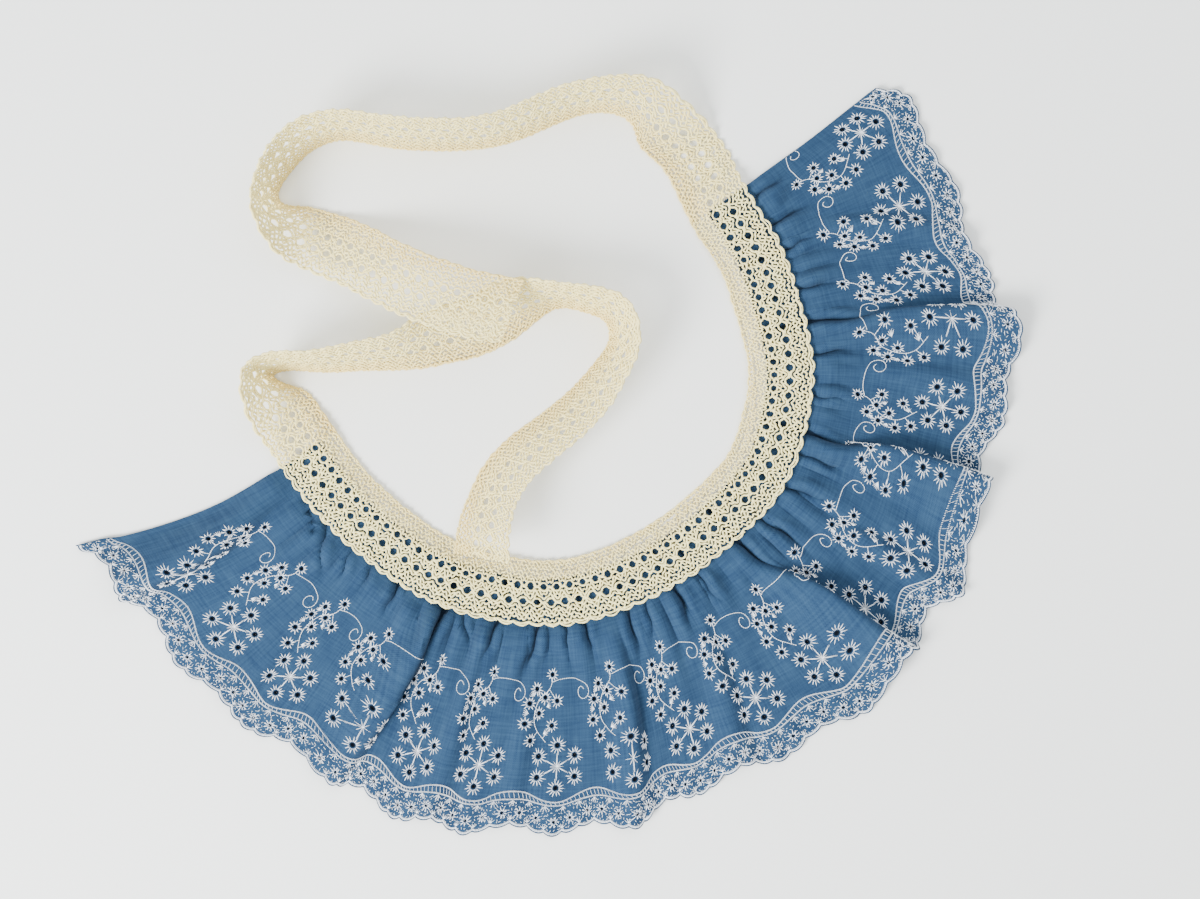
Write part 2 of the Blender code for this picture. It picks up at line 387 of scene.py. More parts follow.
@dataclass(frozen=True)
class Gathers:
    """The puffs of the gathering, rounded on top and sharp between them.

    Runs and starts are shares of the way from the lace to the hem.
    """

    count: float = 38.0
    height_under_lace: float = 1.2
    peak: float = 4.4
    rise_run: float = 0.12
    fade_start: float = 0.04
    fade_run: float = 0.42
    fade_waves: Table = ((0.18, 31.0, 0.0), (0.10, 83.0, 1.0))
    drift_waves: Table = ((0.42, 19.0, 1.0), (0.30, 47.0, 2.0))
    roundness: float = 0.55
    sharpening: float = 1.6
    sharpening_run: float = 0.5
    unevenness: float = 0.28
    uneven_paces: tuple[float, float] = (101.0, 37.0)
    uneven_start: float = 0.6

    def height(self, share: np.ndarray, past: np.ndarray) -> np.ndarray:
        """The height of the puffs.

        Args:
            share: shares of the cloth's length.
            past: shares of the way from the lace to the hem.

        Returns:
            Heights in millimetres.
        """
        phase = math.pi * (self.count * share + ripples(share, self.drift_waves))
        power = self.roundness + self.sharpening * smooth_step(past / self.sharpening_run)
        ridge = (np.abs(np.cos(phase)) + 1e-6) ** power
        quick, slow = self.uneven_paces
        uneven = self.unevenness * np.sin(quick * share + self.uneven_start) * np.sin(slow * share)
        rise = (self.peak - self.height_under_lace) * smooth_step(past / self.rise_run)
        fade = 1.0 - smooth_step((past - self.fade_start) / ripples(share, self.fade_waves, self.fade_run))
        top = np.where(past > 0.0, (self.height_under_lace + rise) * fade, self.height_under_lace)
        return top * ridge * (1.0 - self.unevenness + uneven)


@dataclass(frozen=True)
class LargeFolds:
    """The large folds that run out from the lace.

    Runs and starts are shares of the way from the lace to the hem.
    """

    rows: Table = FOLDS
    root_run: float = 0.06
    rise_run: float = 0.55
    flattening_start: float = 0.5
    width_at_lace: float = 0.5

    def height(self, share: np.ndarray, past: np.ndarray, length: float) -> tuple[np.ndarray, np.ndarray]:
        """The height and the lean of the folds.

        Args:
            share: shares of the cloth's length.
            past: shares of the way from the lace to the hem.
            length: the cloth's length in millimetres.

        Returns:
            Heights in millimetres, and how far the crests lean as shares of the cloth's length.
        """
        height = np.zeros_like(share)
        drift = np.zeros_like(share)
        for neck_share, hem_share, half_width, fold_height, lean, start, left in self.rows:
            centre = neck_share + (hem_share - neck_share) * past
            reach = half_width * (self.width_at_lace + (1.0 - self.width_at_lace) * past)
            across = np.clip((share - centre) * length / reach, -1.0, 1.0)
            bump = (0.5 + 0.5 * np.cos(math.pi * across)) * smooth_step((past - start) / self.rise_run)
            to_hem = (past - self.flattening_start) / (1.0 - self.flattening_start)
            bump *= 1.0 - (1.0 - left) * smooth_step(to_hem)
            bump *= smooth_step(past / self.root_run)
            height += fold_height * bump
            drift += lean / length * bump
        return height, drift


@dataclass(frozen=True)
class TightCreases:
    """The tight creases: a sharp trough with a soft shoulder on each side.

    A crease fades over shares of its own length, and its shoulders are placed in half widths.
    """

    rows: Table = CREASES
    deepening: float = 1.55
    fade_start: float = 0.35
    fade_run: float = 0.8
    wander: float = 0.8
    wander_pace: float = 9.0
    wander_spread: float = 40.0
    sharpness: float = 1.3
    shoulder_height: float = 0.36
    shoulder_place: float = 2.1
    shoulder_width: float = 1.3
    shoulder_run: float = 0.05
    dark_depth: float = 3.2

    def height(self, share: np.ndarray, past: np.ndarray, length: float) -> np.ndarray:
        """The height of the creases.

        Args:
            share: shares of the cloth's length.
            past: shares of the way from the lace to the hem.
            length: the cloth's length in millimetres.

        Returns:
            Heights in millimetres, below 0 in the troughs.
        """
        height = np.zeros_like(share)
        for neck_share, end_share, end, half_width, depth in self.rows:
            run = np.clip(past / end, 0.0, 1.0)
            offset = (share - neck_share - (end_share - neck_share) * run) * length
            offset += self.wander * np.sin(self.wander_pace * run + self.wander_spread * neck_share)
            fade = 1.0 - smooth_step((past / end - self.fade_start) / self.fade_run)
            trough = np.exp(-np.abs(offset / half_width) ** self.sharpness)
            aside = (np.abs(offset) - self.shoulder_place * half_width) / (self.shoulder_width * half_width)
            shoulder = self.shoulder_height * np.exp(-(aside**2)) * smooth_step(past / self.shoulder_run)
            height += self.deepening * depth * fade * (shoulder - trough)
        return height

    def shade(self, share: np.ndarray, past: np.ndarray, length: float) -> np.ndarray:
        """How little light reaches the bottoms of the creases, where the puffs touch.

        Args:
            share: shares of the cloth's length.
            past: shares of the way from the lace to the hem.
            length: the cloth's length in millimetres.

        Returns:
            Shares from 0 in the open to 1 in the deepest creases.
        """
        return np.clip(-self.height(share, past, length) / self.dark_depth, 0.0, 1.0) ** 2


@dataclass(frozen=True)
class Rumple:
    """Slight unevenness of washed cotton, and its pull along the border, in millimetres."""

    broad_height: float = 0.30
    broad_length: float = 5.3
    broad_bend: float = 1.9
    broad_bend_length: float = 23.0
    broad_patch: tuple[float, float] = (17.0, 41.0)
    fine_height: float = 0.22
    fine_lengths: tuple[float, float] = (2.9, 19.0)
    fine_bend: float = 2.0
    fine_bend_length: float = 37.0
    border_height: float = 0.55
    border_start: float = 88.0
    border_run: float = 10.0
    border_length: float = 11.3
    border_bend: float = 1.7
    border_bend_length: float = 29.0

    def height(self, along: np.ndarray, down: np.ndarray) -> np.ndarray:
        """The height of the rumples.

        Args:
            along: positions along the cloth in millimetres.
            down: depths from the gathered edge in millimetres.

        Returns:
            Heights in millimetres.
        """
        broad = np.sin(along / self.broad_length + self.broad_bend * np.sin(down / self.broad_bend_length))
        broad = self.broad_height * broad * np.sin(down / self.broad_patch[0] + along / self.broad_patch[1])
        bend = self.fine_bend * np.sin(along / self.fine_bend_length)
        fine = self.fine_height * np.sin(along / self.fine_lengths[0] + down / self.fine_lengths[1] + bend)
        border = smooth_step((down - self.border_start) / self.border_run)
        bend = self.border_bend * np.sin(along / self.border_bend_length)
        pull = np.sin(FULL_TURN * along / self.border_length + bend)
        return broad + fine + self.border_height * border * (1.0 + pull)


@dataclass
class RuffleSurface:
    """The ruffle's underside as a function of its flat cut, with the gathers, folds and creases."""

    cut: RuffleCut = field(default_factory=RuffleCut)
    gathers: Gathers = field(default_factory=Gathers)
    folds: LargeFolds = field(default_factory=LargeFolds)
    creases: TightCreases = field(default_factory=TightCreases)
    rumple: Rumple = field(default_factory=Rumple)
    rumple_run: float = 0.1
    belly: float = 0.42
    hem_allowance: float = 1.2
    rest_height: float = 0.55
    lowest: float = 0.15
    settling: float = 3.0
    past_hem: float = 1.05
    past_gathering: float = 1.5
    slope_step: float = 0.25

    def __post_init__(self) -> None:
        """Works out the neck and hem curves."""
        self.neck = Curve(NECK)
        self.hem = Curve([row[1:] for row in HEM], [row[0] for row in HEM])

    def past_lace(self, down: np.ndarray) -> np.ndarray:
        """How far the cloth has come from the lace at 0 to the hem at 1.

        The cloth bends up from the lace, so equal steps on it are unequal shares of its curve.

        Args:
            down: depths from the gathered edge in millimetres.

        Returns:
            Places on the curve from the lace to the hem.
        """
        visible = self.cut.depth - self.cut.under_lace
        share = np.clip((down - self.cut.under_lace) / visible, 0.0, self.past_hem)
        start, rest = 2.0 * self.belly, 1.0 - 2.0 * self.belly
        return (np.sqrt(start**2 + 4.0 * rest * share) - start) / (2.0 * rest)

    def crease_shade(self, along: np.ndarray, down: np.ndarray) -> np.ndarray:
        """How little light reaches each place, from 0 in the open to 1 in the deepest creases."""
        return self.creases.shade(along / self.cut.length, self.past_lace(down), self.cut.length)

    def points(self, along: np.ndarray, down: np.ndarray) -> np.ndarray:
        """Points of the underside.

        Args:
            along: positions along the cloth in millimetres.
            down: depths from the gathered edge in millimetres.

        Returns:
            Rows of x, y and z in millimetres, in the frame's own axes.
        """
        cut = self.cut
        share = np.clip(along / cut.length, 0.0, 1.0)
        past = self.past_lace(down)
        height, drift = self.folds.height(share, past, cut.length)
        height += self.gathers.height(share, past) + self.creases.height(share, past, cut.length)
        height += self.rumple.height(along, down) * smooth_step(past / self.rumple_run) + self.rest_height
        height = self.lowest + np.logaddexp(0.0, (height - self.lowest) * self.settling) / self.settling

        placed = np.clip(share + drift, 0.0, 1.0)
        column = past[:, None]
        neck, away = self.neck_frame(placed)
        hem = self.hem.at_knot(placed)
        middle = neck + away * np.linalg.norm(hem - neck, axis=1, keepdims=True) * self.belly
        flat = (1.0 - column) ** 2 * neck + 2.0 * column * (1.0 - column) * middle + column**2 * hem
        flat += unit(hem - middle) * self.hem_allowance * column**2
        hidden = np.clip(1.0 - down / cut.under_lace, 0.0, self.past_gathering)[:, None]
        flat -= away * cut.under_lace * hidden
        return np.column_stack([flat, height]) - CENTRE

    def neck_frame(self, share: np.ndarray) -> tuple[np.ndarray, np.ndarray]:
        """Points on the neckband's outer edge, and the direction away from the neck opening there."""
        heading = self.neck.heading(share)
        return self.neck.at_share(share), np.stack([heading[:, 1], -heading[:, 0]], axis=1)

    def slopes(self, along: np.ndarray, down: np.ndarray) -> tuple[np.ndarray, np.ndarray]:
        """How the surface runs for a millimetre along the cloth and for one down it.

        Args:
            along: positions along the cloth in millimetres.
            down: depths from the gathered edge in millimetres.

        Returns:
            Rows of x, y and z for the way along, and for the way down.
        """
        step = self.slope_step
        forward = self.points(along + step, down) - self.points(along - step, down)
        outward = self.points(along, down + step) - self.points(along, down - step)
        return forward / (2.0 * step), outward / (2.0 * step)

    def normals(self, along: np.ndarray, down: np.ndarray) -> np.ndarray:
        """The upward normals of the surface."""
        forward, outward = self.slopes(along, down)
        return unit(np.cross(outward, forward))

    def lifted(self, along: np.ndarray, down: np.ndarray, height: np.ndarray) -> np.ndarray:
        """Points above the underside, along its normals.

        Args:
            along: positions along the cloth in millimetres.
            down: depths from the gathered edge in millimetres.
            height: heights over the underside in millimetres.

        Returns:
            Rows of x, y and z in millimetres.
        """
        return self.points(along, down) + self.normals(along, down) * height[:, None]


@dataclass
class LaceSurface:
    """The lace's underside from the left tie's end, through the neckband, to the right tie's end."""

    cut: LaceCut
    ruffle: RuffleSurface
    slope_step: float = 0.3

    def __post_init__(self) -> None:
        """Joins the ties' tables to the neckband's outer edge."""
        sections = self.cut.band_sections
        outer, away = self.ruffle.neck_frame(np.linspace(0.0, 1.0, sections))
        centres = outer - away * self.cut.width / 2.0
        azimuths = np.degrees(np.unwrap(np.arctan2(away[:, 1], away[:, 0]))) + 360.0
        band = np.column_stack([centres, azimuths, np.zeros((sections, 2))])
        left = np.array(TIE_LEFT[::-1], dtype=float)
        right = np.array(TIE_RIGHT, dtype=float)
        right[:, 2] += 360.0
        self.curve = Curve(np.concatenate([left, band, right]))
        self.start = float(self.curve.knots[0])
        self.band_start = float(self.curve.knots[len(left)])
        self.band_end = float(self.curve.knots[len(left) + sections - 1])
        self.end = float(self.curve.knots[-1])

    def points(self, knot: np.ndarray, across: np.ndarray) -> np.ndarray:
        """Points of the lace's underside.

        Args:
            knot: positions along the lace in millimetres.
            across: positions across it in millimetres, from its inner edge.

        Returns:
            Rows of x, y and z in millimetres, in the frame's own axes.
        """
        cut = self.cut
        share = across / cut.width
        x, y, azimuth, tilt, lift = self.curve.at_knot(knot).T
        azimuth, tilt = np.radians(azimuth), np.radians(np.maximum(tilt, 0.0))
        past_end = np.maximum(self.band_start - knot, knot - self.band_end)
        on_ruffle = 1.0 - smooth_step((past_end - cut.seat_margin) / cut.seat_run_out)
        short, long = cut.wave_lengths
        wave = (0.5 + 0.5 * np.sin(knot / short) * np.sin(knot / long + 1.0)) * cut.inner_edge_wave
        seat = cut.seat * smooth_step(share / cut.seat_share)
        seat += wave * (1.0 - smooth_step(share / cut.wave_share))
        rise = np.maximum(lift, 0.0) + on_ruffle * seat
        run = (share - 0.5) * cut.width * np.cos(tilt)
        height = share * cut.width * np.sin(tilt) + rise
        placed = np.column_stack([x + np.cos(azimuth) * run, y + np.sin(azimuth) * run, height])
        return placed - CENTRE

    def facing(self, knot: np.ndarray, across: np.ndarray) -> np.ndarray:
        """Normals of the lace, as long as the local area is large against the flat cut's.

        Args:
            knot: positions along the lace in millimetres.
            across: positions across it in millimetres.

        Returns:
            Rows of x, y and z.
        """
        step = self.slope_step
        forward = self.points(knot + step, across) - self.points(knot - step, across)
        outward = self.points(knot, across + step) - self.points(knot, across - step)
        return np.cross(outward, forward) / (4.0 * step * step)

    def stretch(self, knot: np.ndarray, across: np.ndarray) -> np.ndarray:
        """The local area as a share of the flat cut's."""
        return np.linalg.norm(self.facing(knot, across), axis=1)

    def lifted(self, knot: np.ndarray, across: np.ndarray, height: np.ndarray) -> np.ndarray:
        """Points above the underside, along its normals.

        Args:
            knot: positions along the lace in millimetres.
            across: positions across it in millimetres.
            height: height over the underside in millimetres.

        Returns:
            Rows of x, y and z in millimetres.
        """
        return self.points(knot, across) + unit(self.facing(knot, across)) * height[:, None]


# Node trees


class TreeBuilder:
    """A node tree under construction, with short calls to add nodes and to join them."""

    def __init__(self, tree: bpy.types.NodeTree) -> None:
        """Keeps the tree, emptied of the nodes it came with.

        Args:
            tree: a material's tree or a node group.
        """
        self.tree = tree
        tree.nodes.clear()

    def add(self, kind: str, **settings: object) -> bpy.types.Node:
        """Adds one node.

        Args:
            kind: the node's type name.
            settings: values for the node's own properties.

        Returns:
            The new node.
        """
        node = self.tree.nodes.new(kind)
        for name, value in settings.items():
            setattr(node, name, value)
        return node

    def socket(self, name: str, kind: str, out: bool = False, default: object = None) -> None:
        """Declares one named socket of a group.

        Args:
            name: the socket's name.
            kind: the last part of the socket's type name.
            out: whether the group puts it out.
            default: its value where nothing is joined to it.
        """
        way = "OUTPUT" if out else "INPUT"
        made = self.tree.interface.new_socket(name, in_out=way, socket_type="NodeSocket" + kind)
        if default is not None:
            made.default_value = default

    def join(self, out: Socket, into: Socket) -> None:
        """Joins an output to an input."""
        self.tree.links.new(out, into)

    def put(self, value: object, into: Socket) -> None:
        """Joins a socket to an input, or sets the input where the value is a plain one.

        Args:
            value: a socket or a plain value.
            into: the input.
        """
        if isinstance(value, Socket):
            self.join(value, into)
        else:
            into.default_value = value

    def feed(self, node: bpy.types.Node, **values: object) -> Socket:
        """Joins sockets to a node's inputs, or sets them where a value is a plain one.

        Args:
            node: the node to feed.
            values: what goes into each input, by the input's name with _ for each space.

        Returns:
            The node's first output.
        """
        for name, value in values.items():
            self.put(value, node.inputs[name.replace("_", " ")])
        return node.outputs[0] if node.outputs else None

    def math(self, operation: str, *values: object) -> Socket:
        """Adds a Math node.

        Args:
            operation: the operation's name.
            values: its one to three sockets or numbers.

        Returns:
            Its result.
        """
        node = self.add("ShaderNodeMath", operation=operation)
        for value, into in zip(values, node.inputs):
            self.put(value, into)
        return node.outputs[0]

    def blend(self, share: Socket, first: object, second: object) -> Socket:
        """Adds a colour mix.

        Args:
            share: 0 for the first colour and 1 for the second.
            first: a socket or colour.
            second: a socket or colour.

        Returns:
            The mixed colour.
        """
        node = self.add("ShaderNodeMix", data_type="RGBA")
        for value, place in ((share, 0), (first, 6), (second, 7)):
            self.put(value, node.inputs[place])
        return node.outputs[2]

    def noise(self, vector: Socket, scale: float, detail: float = 2.0) -> Socket:
        """Adds a noise texture.

        Args:
            vector: where it is read.
            scale: its scale.
            detail: how many finer layers it has.

        Returns:
            Its value.
        """
        return self.feed(self.add("ShaderNodeTexNoise"), Vector=vector, Scale=scale, Detail=detail)

    def scaled(self, vector: Socket, scale: tuple[float, float, float]) -> Socket:
        """Adds a Mapping node that scales the vector."""
        return self.feed(self.add("ShaderNodeMapping"), Vector=vector, Scale=scale)

    def vector(self, *parts: Socket) -> Socket:
        """Adds a vector made of its parts."""
        return self.feed(self.add("ShaderNodeCombineXYZ"), **dict(zip("XYZ", parts)))

    def bump(self, height: Socket, strength: float, distance: float) -> Socket:
        """Adds a bump and gives its normal."""
        return self.feed(self.add("ShaderNodeBump"), Height=height, Strength=strength, Distance=distance)

    def surface(self, **values: object) -> None:
        """Adds the shader and the material's output.

        Args:
            values: what goes into the shader's inputs, by name.
        """
        shader = self.feed(self.add("ShaderNodeBsdfPrincipled"), **values)
        self.feed(self.add("ShaderNodeOutputMaterial"), Surface=shader)

    def read(self, name: str, kind: str = "FLOAT") -> Socket:
        """Adds a node that reads a geometry's named values."""
        return self.feed(self.add("GeometryNodeInputNamedAttribute", data_type=kind), Name=name)

    def store(
        self, shape: Socket, name: str, value: Socket, kind: str = "FLOAT"
    ) -> Socket:
        """Adds a node that keeps a value on each point of a geometry.

        Args:
            shape: the geometry.
            name: the name that the value is kept under.
            value: the value.
            kind: the value's data type.

        Returns:
            The geometry with its new values.
        """
        node = self.add("GeometryNodeStoreNamedAttribute", data_type=kind, domain="POINT")
        return self.feed(node, Geometry=shape, Name=name, Value=value)

    def dressed(self, shape: Socket, finish: Socket) -> None:
        """Ends a geometry tree: realizes its instances, smooths them and sets their material.

        Args:
            shape: the geometry.
            finish: the material.
        """
        real = self.feed(self.add("GeometryNodeRealizeInstances"), Geometry=shape)
        smooth = self.feed(self.add("GeometryNodeSetShadeSmooth"), Geometry=real)
        done = self.feed(self.add("GeometryNodeSetMaterial"), Geometry=smooth, Material=finish)
        self.join(done, self.add("NodeGroupOutput").inputs[0])


def new_material(name: str) -> tuple[bpy.types.Material, TreeBuilder]:
    """Makes an empty material and the builder of its tree."""
    material = bpy.data.materials.new(name)
    material.use_nodes = True
    return material, TreeBuilder(material.node_tree)


# Shared shader groups


@dataclass(frozen=True)
class TwistedYarn:
    """The twist and fuzz of a spun yarn, read from its length and the turn round it."""

    fuzz_scale: float = 5200.0
    fuzz_height: float = 0.55
    patch_scale: float = 900.0
    twist_height: float = 0.5
    twist_shade: float = 0.14

    def build(self) -> bpy.types.NodeTree:
        """Makes the group.

        Returns:
            A shader group that puts out Height and Shade.
        """
        group = bpy.data.node_groups.new("Twisted yarn", "ShaderNodeTree")
        build = TreeBuilder(group)
        build.socket("Turn", "Vector")
        build.socket("Length", "Float")
        build.socket("Twists per metre", "Float", default=700.0)
        build.socket("Height", "Float", out=True)
        build.socket("Shade", "Float", out=True)
        given = build.add("NodeGroupInput")
        turn = build.add("ShaderNodeSeparateXYZ")
        build.feed(turn, Vector=given.outputs["Turn"])
        angle = build.math("MULTIPLY", given.outputs["Length"], given.outputs["Twists per metre"])
        angle = build.math("MULTIPLY", angle, FULL_TURN)
        wave = build.math("MULTIPLY", build.math("COSINE", angle), turn.outputs["Y"])
        wave = build.math("MULTIPLY_ADD", build.math("SINE", angle), turn.outputs["X"], wave)
        place = build.add("ShaderNodeTexCoord").outputs["Object"]
        fuzz = build.noise(place, self.fuzz_scale)
        patches = build.noise(place, self.patch_scale)
        twisted = build.math("MULTIPLY", wave, self.twist_height)
        height = build.math("MULTIPLY_ADD", fuzz, self.fuzz_height, twisted)
        shade = build.math("MULTIPLY_ADD", wave, self.twist_shade, patches)
        build.feed(build.add("NodeGroupOutput"), Height=height, Shade=shade)
        return group


@dataclass(frozen=True)
class PlainWeave:
    """A plain weave with uneven threads, read from the cloth's own map in millimetres."""

    streak_across: float = 1.1
    streak_along: float = 0.05
    streak_detail: float = 4.0

    def build(self) -> bpy.types.NodeTree:
        """Makes the group.

        Returns:
            A shader group that puts out Height, Weft and Streaks.
        """
        group = bpy.data.node_groups.new("Plain weave", "ShaderNodeTree")
        build = TreeBuilder(group)
        build.socket("Map", "Vector")
        build.socket("Threads per millimetre", "Float", default=2.6)
        build.socket("Height", "Float", out=True)
        build.socket("Weft", "Float", out=True)
        build.socket("Streaks", "Float", out=True)
        given = build.add("NodeGroupInput")
        cloth_map = given.outputs["Map"]
        place = build.add("ShaderNodeSeparateXYZ")
        build.feed(place, Vector=cloth_map)
        sides = []
        for axis in "XY":
            turn = build.math("MULTIPLY", place.outputs[axis], given.outputs["Threads per millimetre"])
            sides.append(build.math("SINE", build.math("MULTIPLY", turn, math.pi)))
        weft_over = build.math("GREATER_THAN", build.math("MULTIPLY", *sides), 0.0)
        tops = [build.math("ABSOLUTE", side) for side in sides]
        warp = build.math("MULTIPLY", tops[0], build.math("SQRT", tops[1]))
        weft = build.math("MULTIPLY", tops[1], build.math("SQRT", tops[0]))
        warp = build.math("MULTIPLY", warp, build.math("SUBTRACT", 1.0, weft_over))
        streaks = []
        for scale in ((self.streak_across, self.streak_along), (self.streak_along, self.streak_across)):
            streak = build.noise(build.scaled(cloth_map, (*scale, 1.0)), 1.0, self.streak_detail)
            streaks.append(build.math("MULTIPLY", streak, 0.5))
        build.feed(
            build.add("NodeGroupOutput"),
            Height=build.math("MULTIPLY_ADD", weft, weft_over, warp),
            Weft=weft_over,
            Streaks=build.math("ADD", *streaks),
        )
        return group


# Finishes


@dataclass(frozen=True)
class ChambrayFinish:
    """Soft blue cotton: dyed warp, paler weft, with slubs and a faint nap, and painted shade in its creases
    and eyelets.
    """

    warp: Colour = (0.0066, 0.0205, 0.053, 1.0)
    weft: Colour = (0.019, 0.046, 0.095, 1.0)
    faded: Colour = (0.031, 0.071, 0.130, 1.0)
    # Painted shade: a near-black navy for the bottoms of the tight creases and the walls of the eyelet
    # funnels
    inside: Colour = (0.0012, 0.0030, 0.0075, 1.0)
    weft_contrast: float = 0.75
    weft_in_warp: float = 0.1
    streak_contrast: float = 2.3
    mottle_scale: float = 0.09
    mottle_detail: float = 4.0
    mottle_share: float = 0.7
    painted_shade_strength: float = 2.5
    roughness: float = 0.92
    specular: float = 0.08
    sheen: float = 0.02
    sheen_roughness: float = 0.5
    streak_bump: float = 1.6
    bump_strength: float = 0.8
    bump_distance: float = 0.00010

    def build(self, weave: bpy.types.NodeTree) -> bpy.types.Material:
        """Makes the material.

        Args:
            weave: the plain weave group.

        Returns:
            The chambray material.
        """
        material, build = new_material("Blue chambray")
        cloth_map = build.add("ShaderNodeUVMap", uv_map="Cloth").outputs[0]
        woven = build.add("ShaderNodeGroup", node_tree=weave)
        build.feed(woven, Map=cloth_map)
        streaks = woven.outputs["Streaks"]
        mottle = build.noise(cloth_map, self.mottle_scale, self.mottle_detail)
        fading = build.math("MULTIPLY_ADD", streaks, self.streak_contrast, -0.5 * self.streak_contrast)
        fading = build.math("MULTIPLY_ADD", mottle, self.mottle_share, fading)
        weft = build.math("MULTIPLY_ADD", woven.outputs["Weft"], self.weft_contrast, self.weft_in_warp)
        colour = build.blend(fading, build.blend(weft, self.warp, self.weft), self.faded)
        # Painted shade: the "inside" values blend the colour towards the near-black navy in the creases and
        # eyelet funnels
        inside = build.add("ShaderNodeAttribute", attribute_name="inside").outputs["Fac"]
        colour = build.blend(build.math("MULTIPLY", inside, self.painted_shade_strength), colour, self.inside)
        height = build.math("MULTIPLY_ADD", streaks, self.streak_bump, woven.outputs["Height"])
        build.surface(
            Base_Color=colour,
            Normal=build.bump(height, self.bump_strength, self.bump_distance),
            Roughness=self.roughness,
            Specular_IOR_Level=self.specular,
            Sheen_Weight=self.sheen,
            Sheen_Roughness=self.sheen_roughness,
        )
        return material


@dataclass(frozen=True)
class YarnFinish:
    """A spun cotton yarn or thread."""

    name: str
    light: Colour
    deep: Colour
    roughness: float
    specular: float
    twists: float
    bump_distance: float
    sheen: float = 0.05
    shade_share: float = 0.5
    middle_tone: float = 0.25
    bump_strength: float = 0.7

    def build(self, twist: bpy.types.NodeTree) -> bpy.types.Material:
        """Makes the material.

        Args:
            twist: the twisted yarn group.

        Returns:
            The yarn's material.
        """
        material, build = new_material(self.name)
        turn, length, tone = (
            build.add("ShaderNodeAttribute", attribute_name=name).outputs
            for name in ("turn", "length", "tone")
        )
        yarn = build.add("ShaderNodeGroup", node_tree=twist)
        build.feed(yarn, Turn=turn["Vector"], Length=length["Fac"], Twists_per_metre=self.twists)
        shade = build.math("MULTIPLY_ADD", yarn.outputs["Shade"], self.shade_share, tone["Fac"])
        build.surface(
            Base_Color=build.blend(build.math("SUBTRACT", shade, self.middle_tone), self.deep, self.light),
            Normal=build.bump(yarn.outputs["Height"], self.bump_strength, self.bump_distance),
            Roughness=self.roughness,
            Specular_IOR_Level=self.specular,
            Sheen_Weight=self.sheen,
        )
        return material


LACE_YARN = YarnFinish(
    name="Cream cotton lace yarn",
    light=(0.92, 0.85, 0.42, 1.0),
    deep=(0.78, 0.60, 0.22, 1.0),
    roughness=0.9,
    specular=0.12,
    twists=620.0,
    bump_distance=0.00012,
)
WHITE_THREAD = YarnFinish(
    name="White embroidery thread",
    light=(0.93, 0.96, 0.99, 1.0),
    deep=(0.72, 0.79, 0.90, 1.0),
    roughness=0.6,
    specular=0.3,
    twists=1400.0,
    bump_distance=0.00005,
)


# Geometry node trees


@dataclass(frozen=True)
class StitchTree:
    """Lays one short bowed stitch on each point, along its run and facing out."""

    sides: int = 3
    taper: float = 0.3
    bow: float = 1.1
    usual_length: float = 0.0015

    def build(self) -> bpy.types.NodeTree:
        """Makes the tree.

        Returns:
            A geometry tree with the inputs Points, Thread radius and Finish.
        """
        tree = bpy.data.node_groups.new("Stitches", "GeometryNodeTree")
        build = TreeBuilder(tree)
        build.socket("Points", "Geometry")
        build.socket("Thread radius", "Float", default=0.00015)
        build.socket("Finish", "Material")
        build.socket("Stitches", "Geometry", out=True)
        given = build.add("NodeGroupInput").outputs
        thick = build.math("MULTIPLY", given["Thread radius"], build.read("girth"))
        along = build.add("FunctionNodeAlignRotationToVector", axis="Z")
        along = build.feed(along, Vector=build.read("run", "FLOAT_VECTOR"))
        facing = build.add("FunctionNodeAlignRotationToVector", axis="X", pivot_axis="Z")
        laid = build.feed(
            build.add("GeometryNodeInstanceOnPoints"),
            Points=given["Points"],
            Instance=self.stitch(build),
            Rotation=build.feed(facing, Rotation=along, Vector=build.read("out", "FLOAT_VECTOR")),
            Scale=build.vector(thick, thick, build.read("span")),
        )
        build.dressed(laid, given["Finish"])
        return tree

    def stitch(self, build: TreeBuilder) -> Socket:
        """Shapes one stitch of unit length and girth.

        Args:
            build: the tree's builder.

        Returns:
            The stitch, bowed outward and slimmer at its ends.
        """
        stitch = build.add("GeometryNodeMeshCylinder", fill_type="NGON")
        build.feed(stitch, Vertices=self.sides, Side_Segments=2, Radius=1.0, Depth=1.0)
        place = build.add("ShaderNodeSeparateXYZ")
        build.feed(place, Vector=build.add("GeometryNodeInputPosition").outputs[0])
        x, y, z = place.outputs
        end = build.math("MULTIPLY", build.math("MULTIPLY", z, z), 4.0)
        slim = build.math("MULTIPLY_ADD", end, -self.taper, 1.0)
        outward = build.math("MULTIPLY_ADD", x, slim, build.math("MULTIPLY", end, -self.bow))
        bowed = build.vector(outward, build.math("MULTIPLY", y, slim), z)
        shape = build.store(stitch.outputs["Mesh"], "turn", build.vector(x, y), "FLOAT_VECTOR")
        shape = build.store(shape, "length", build.math("MULTIPLY", z, self.usual_length))
        return build.feed(build.add("GeometryNodeSetPosition"), Geometry=shape, Position=bowed)


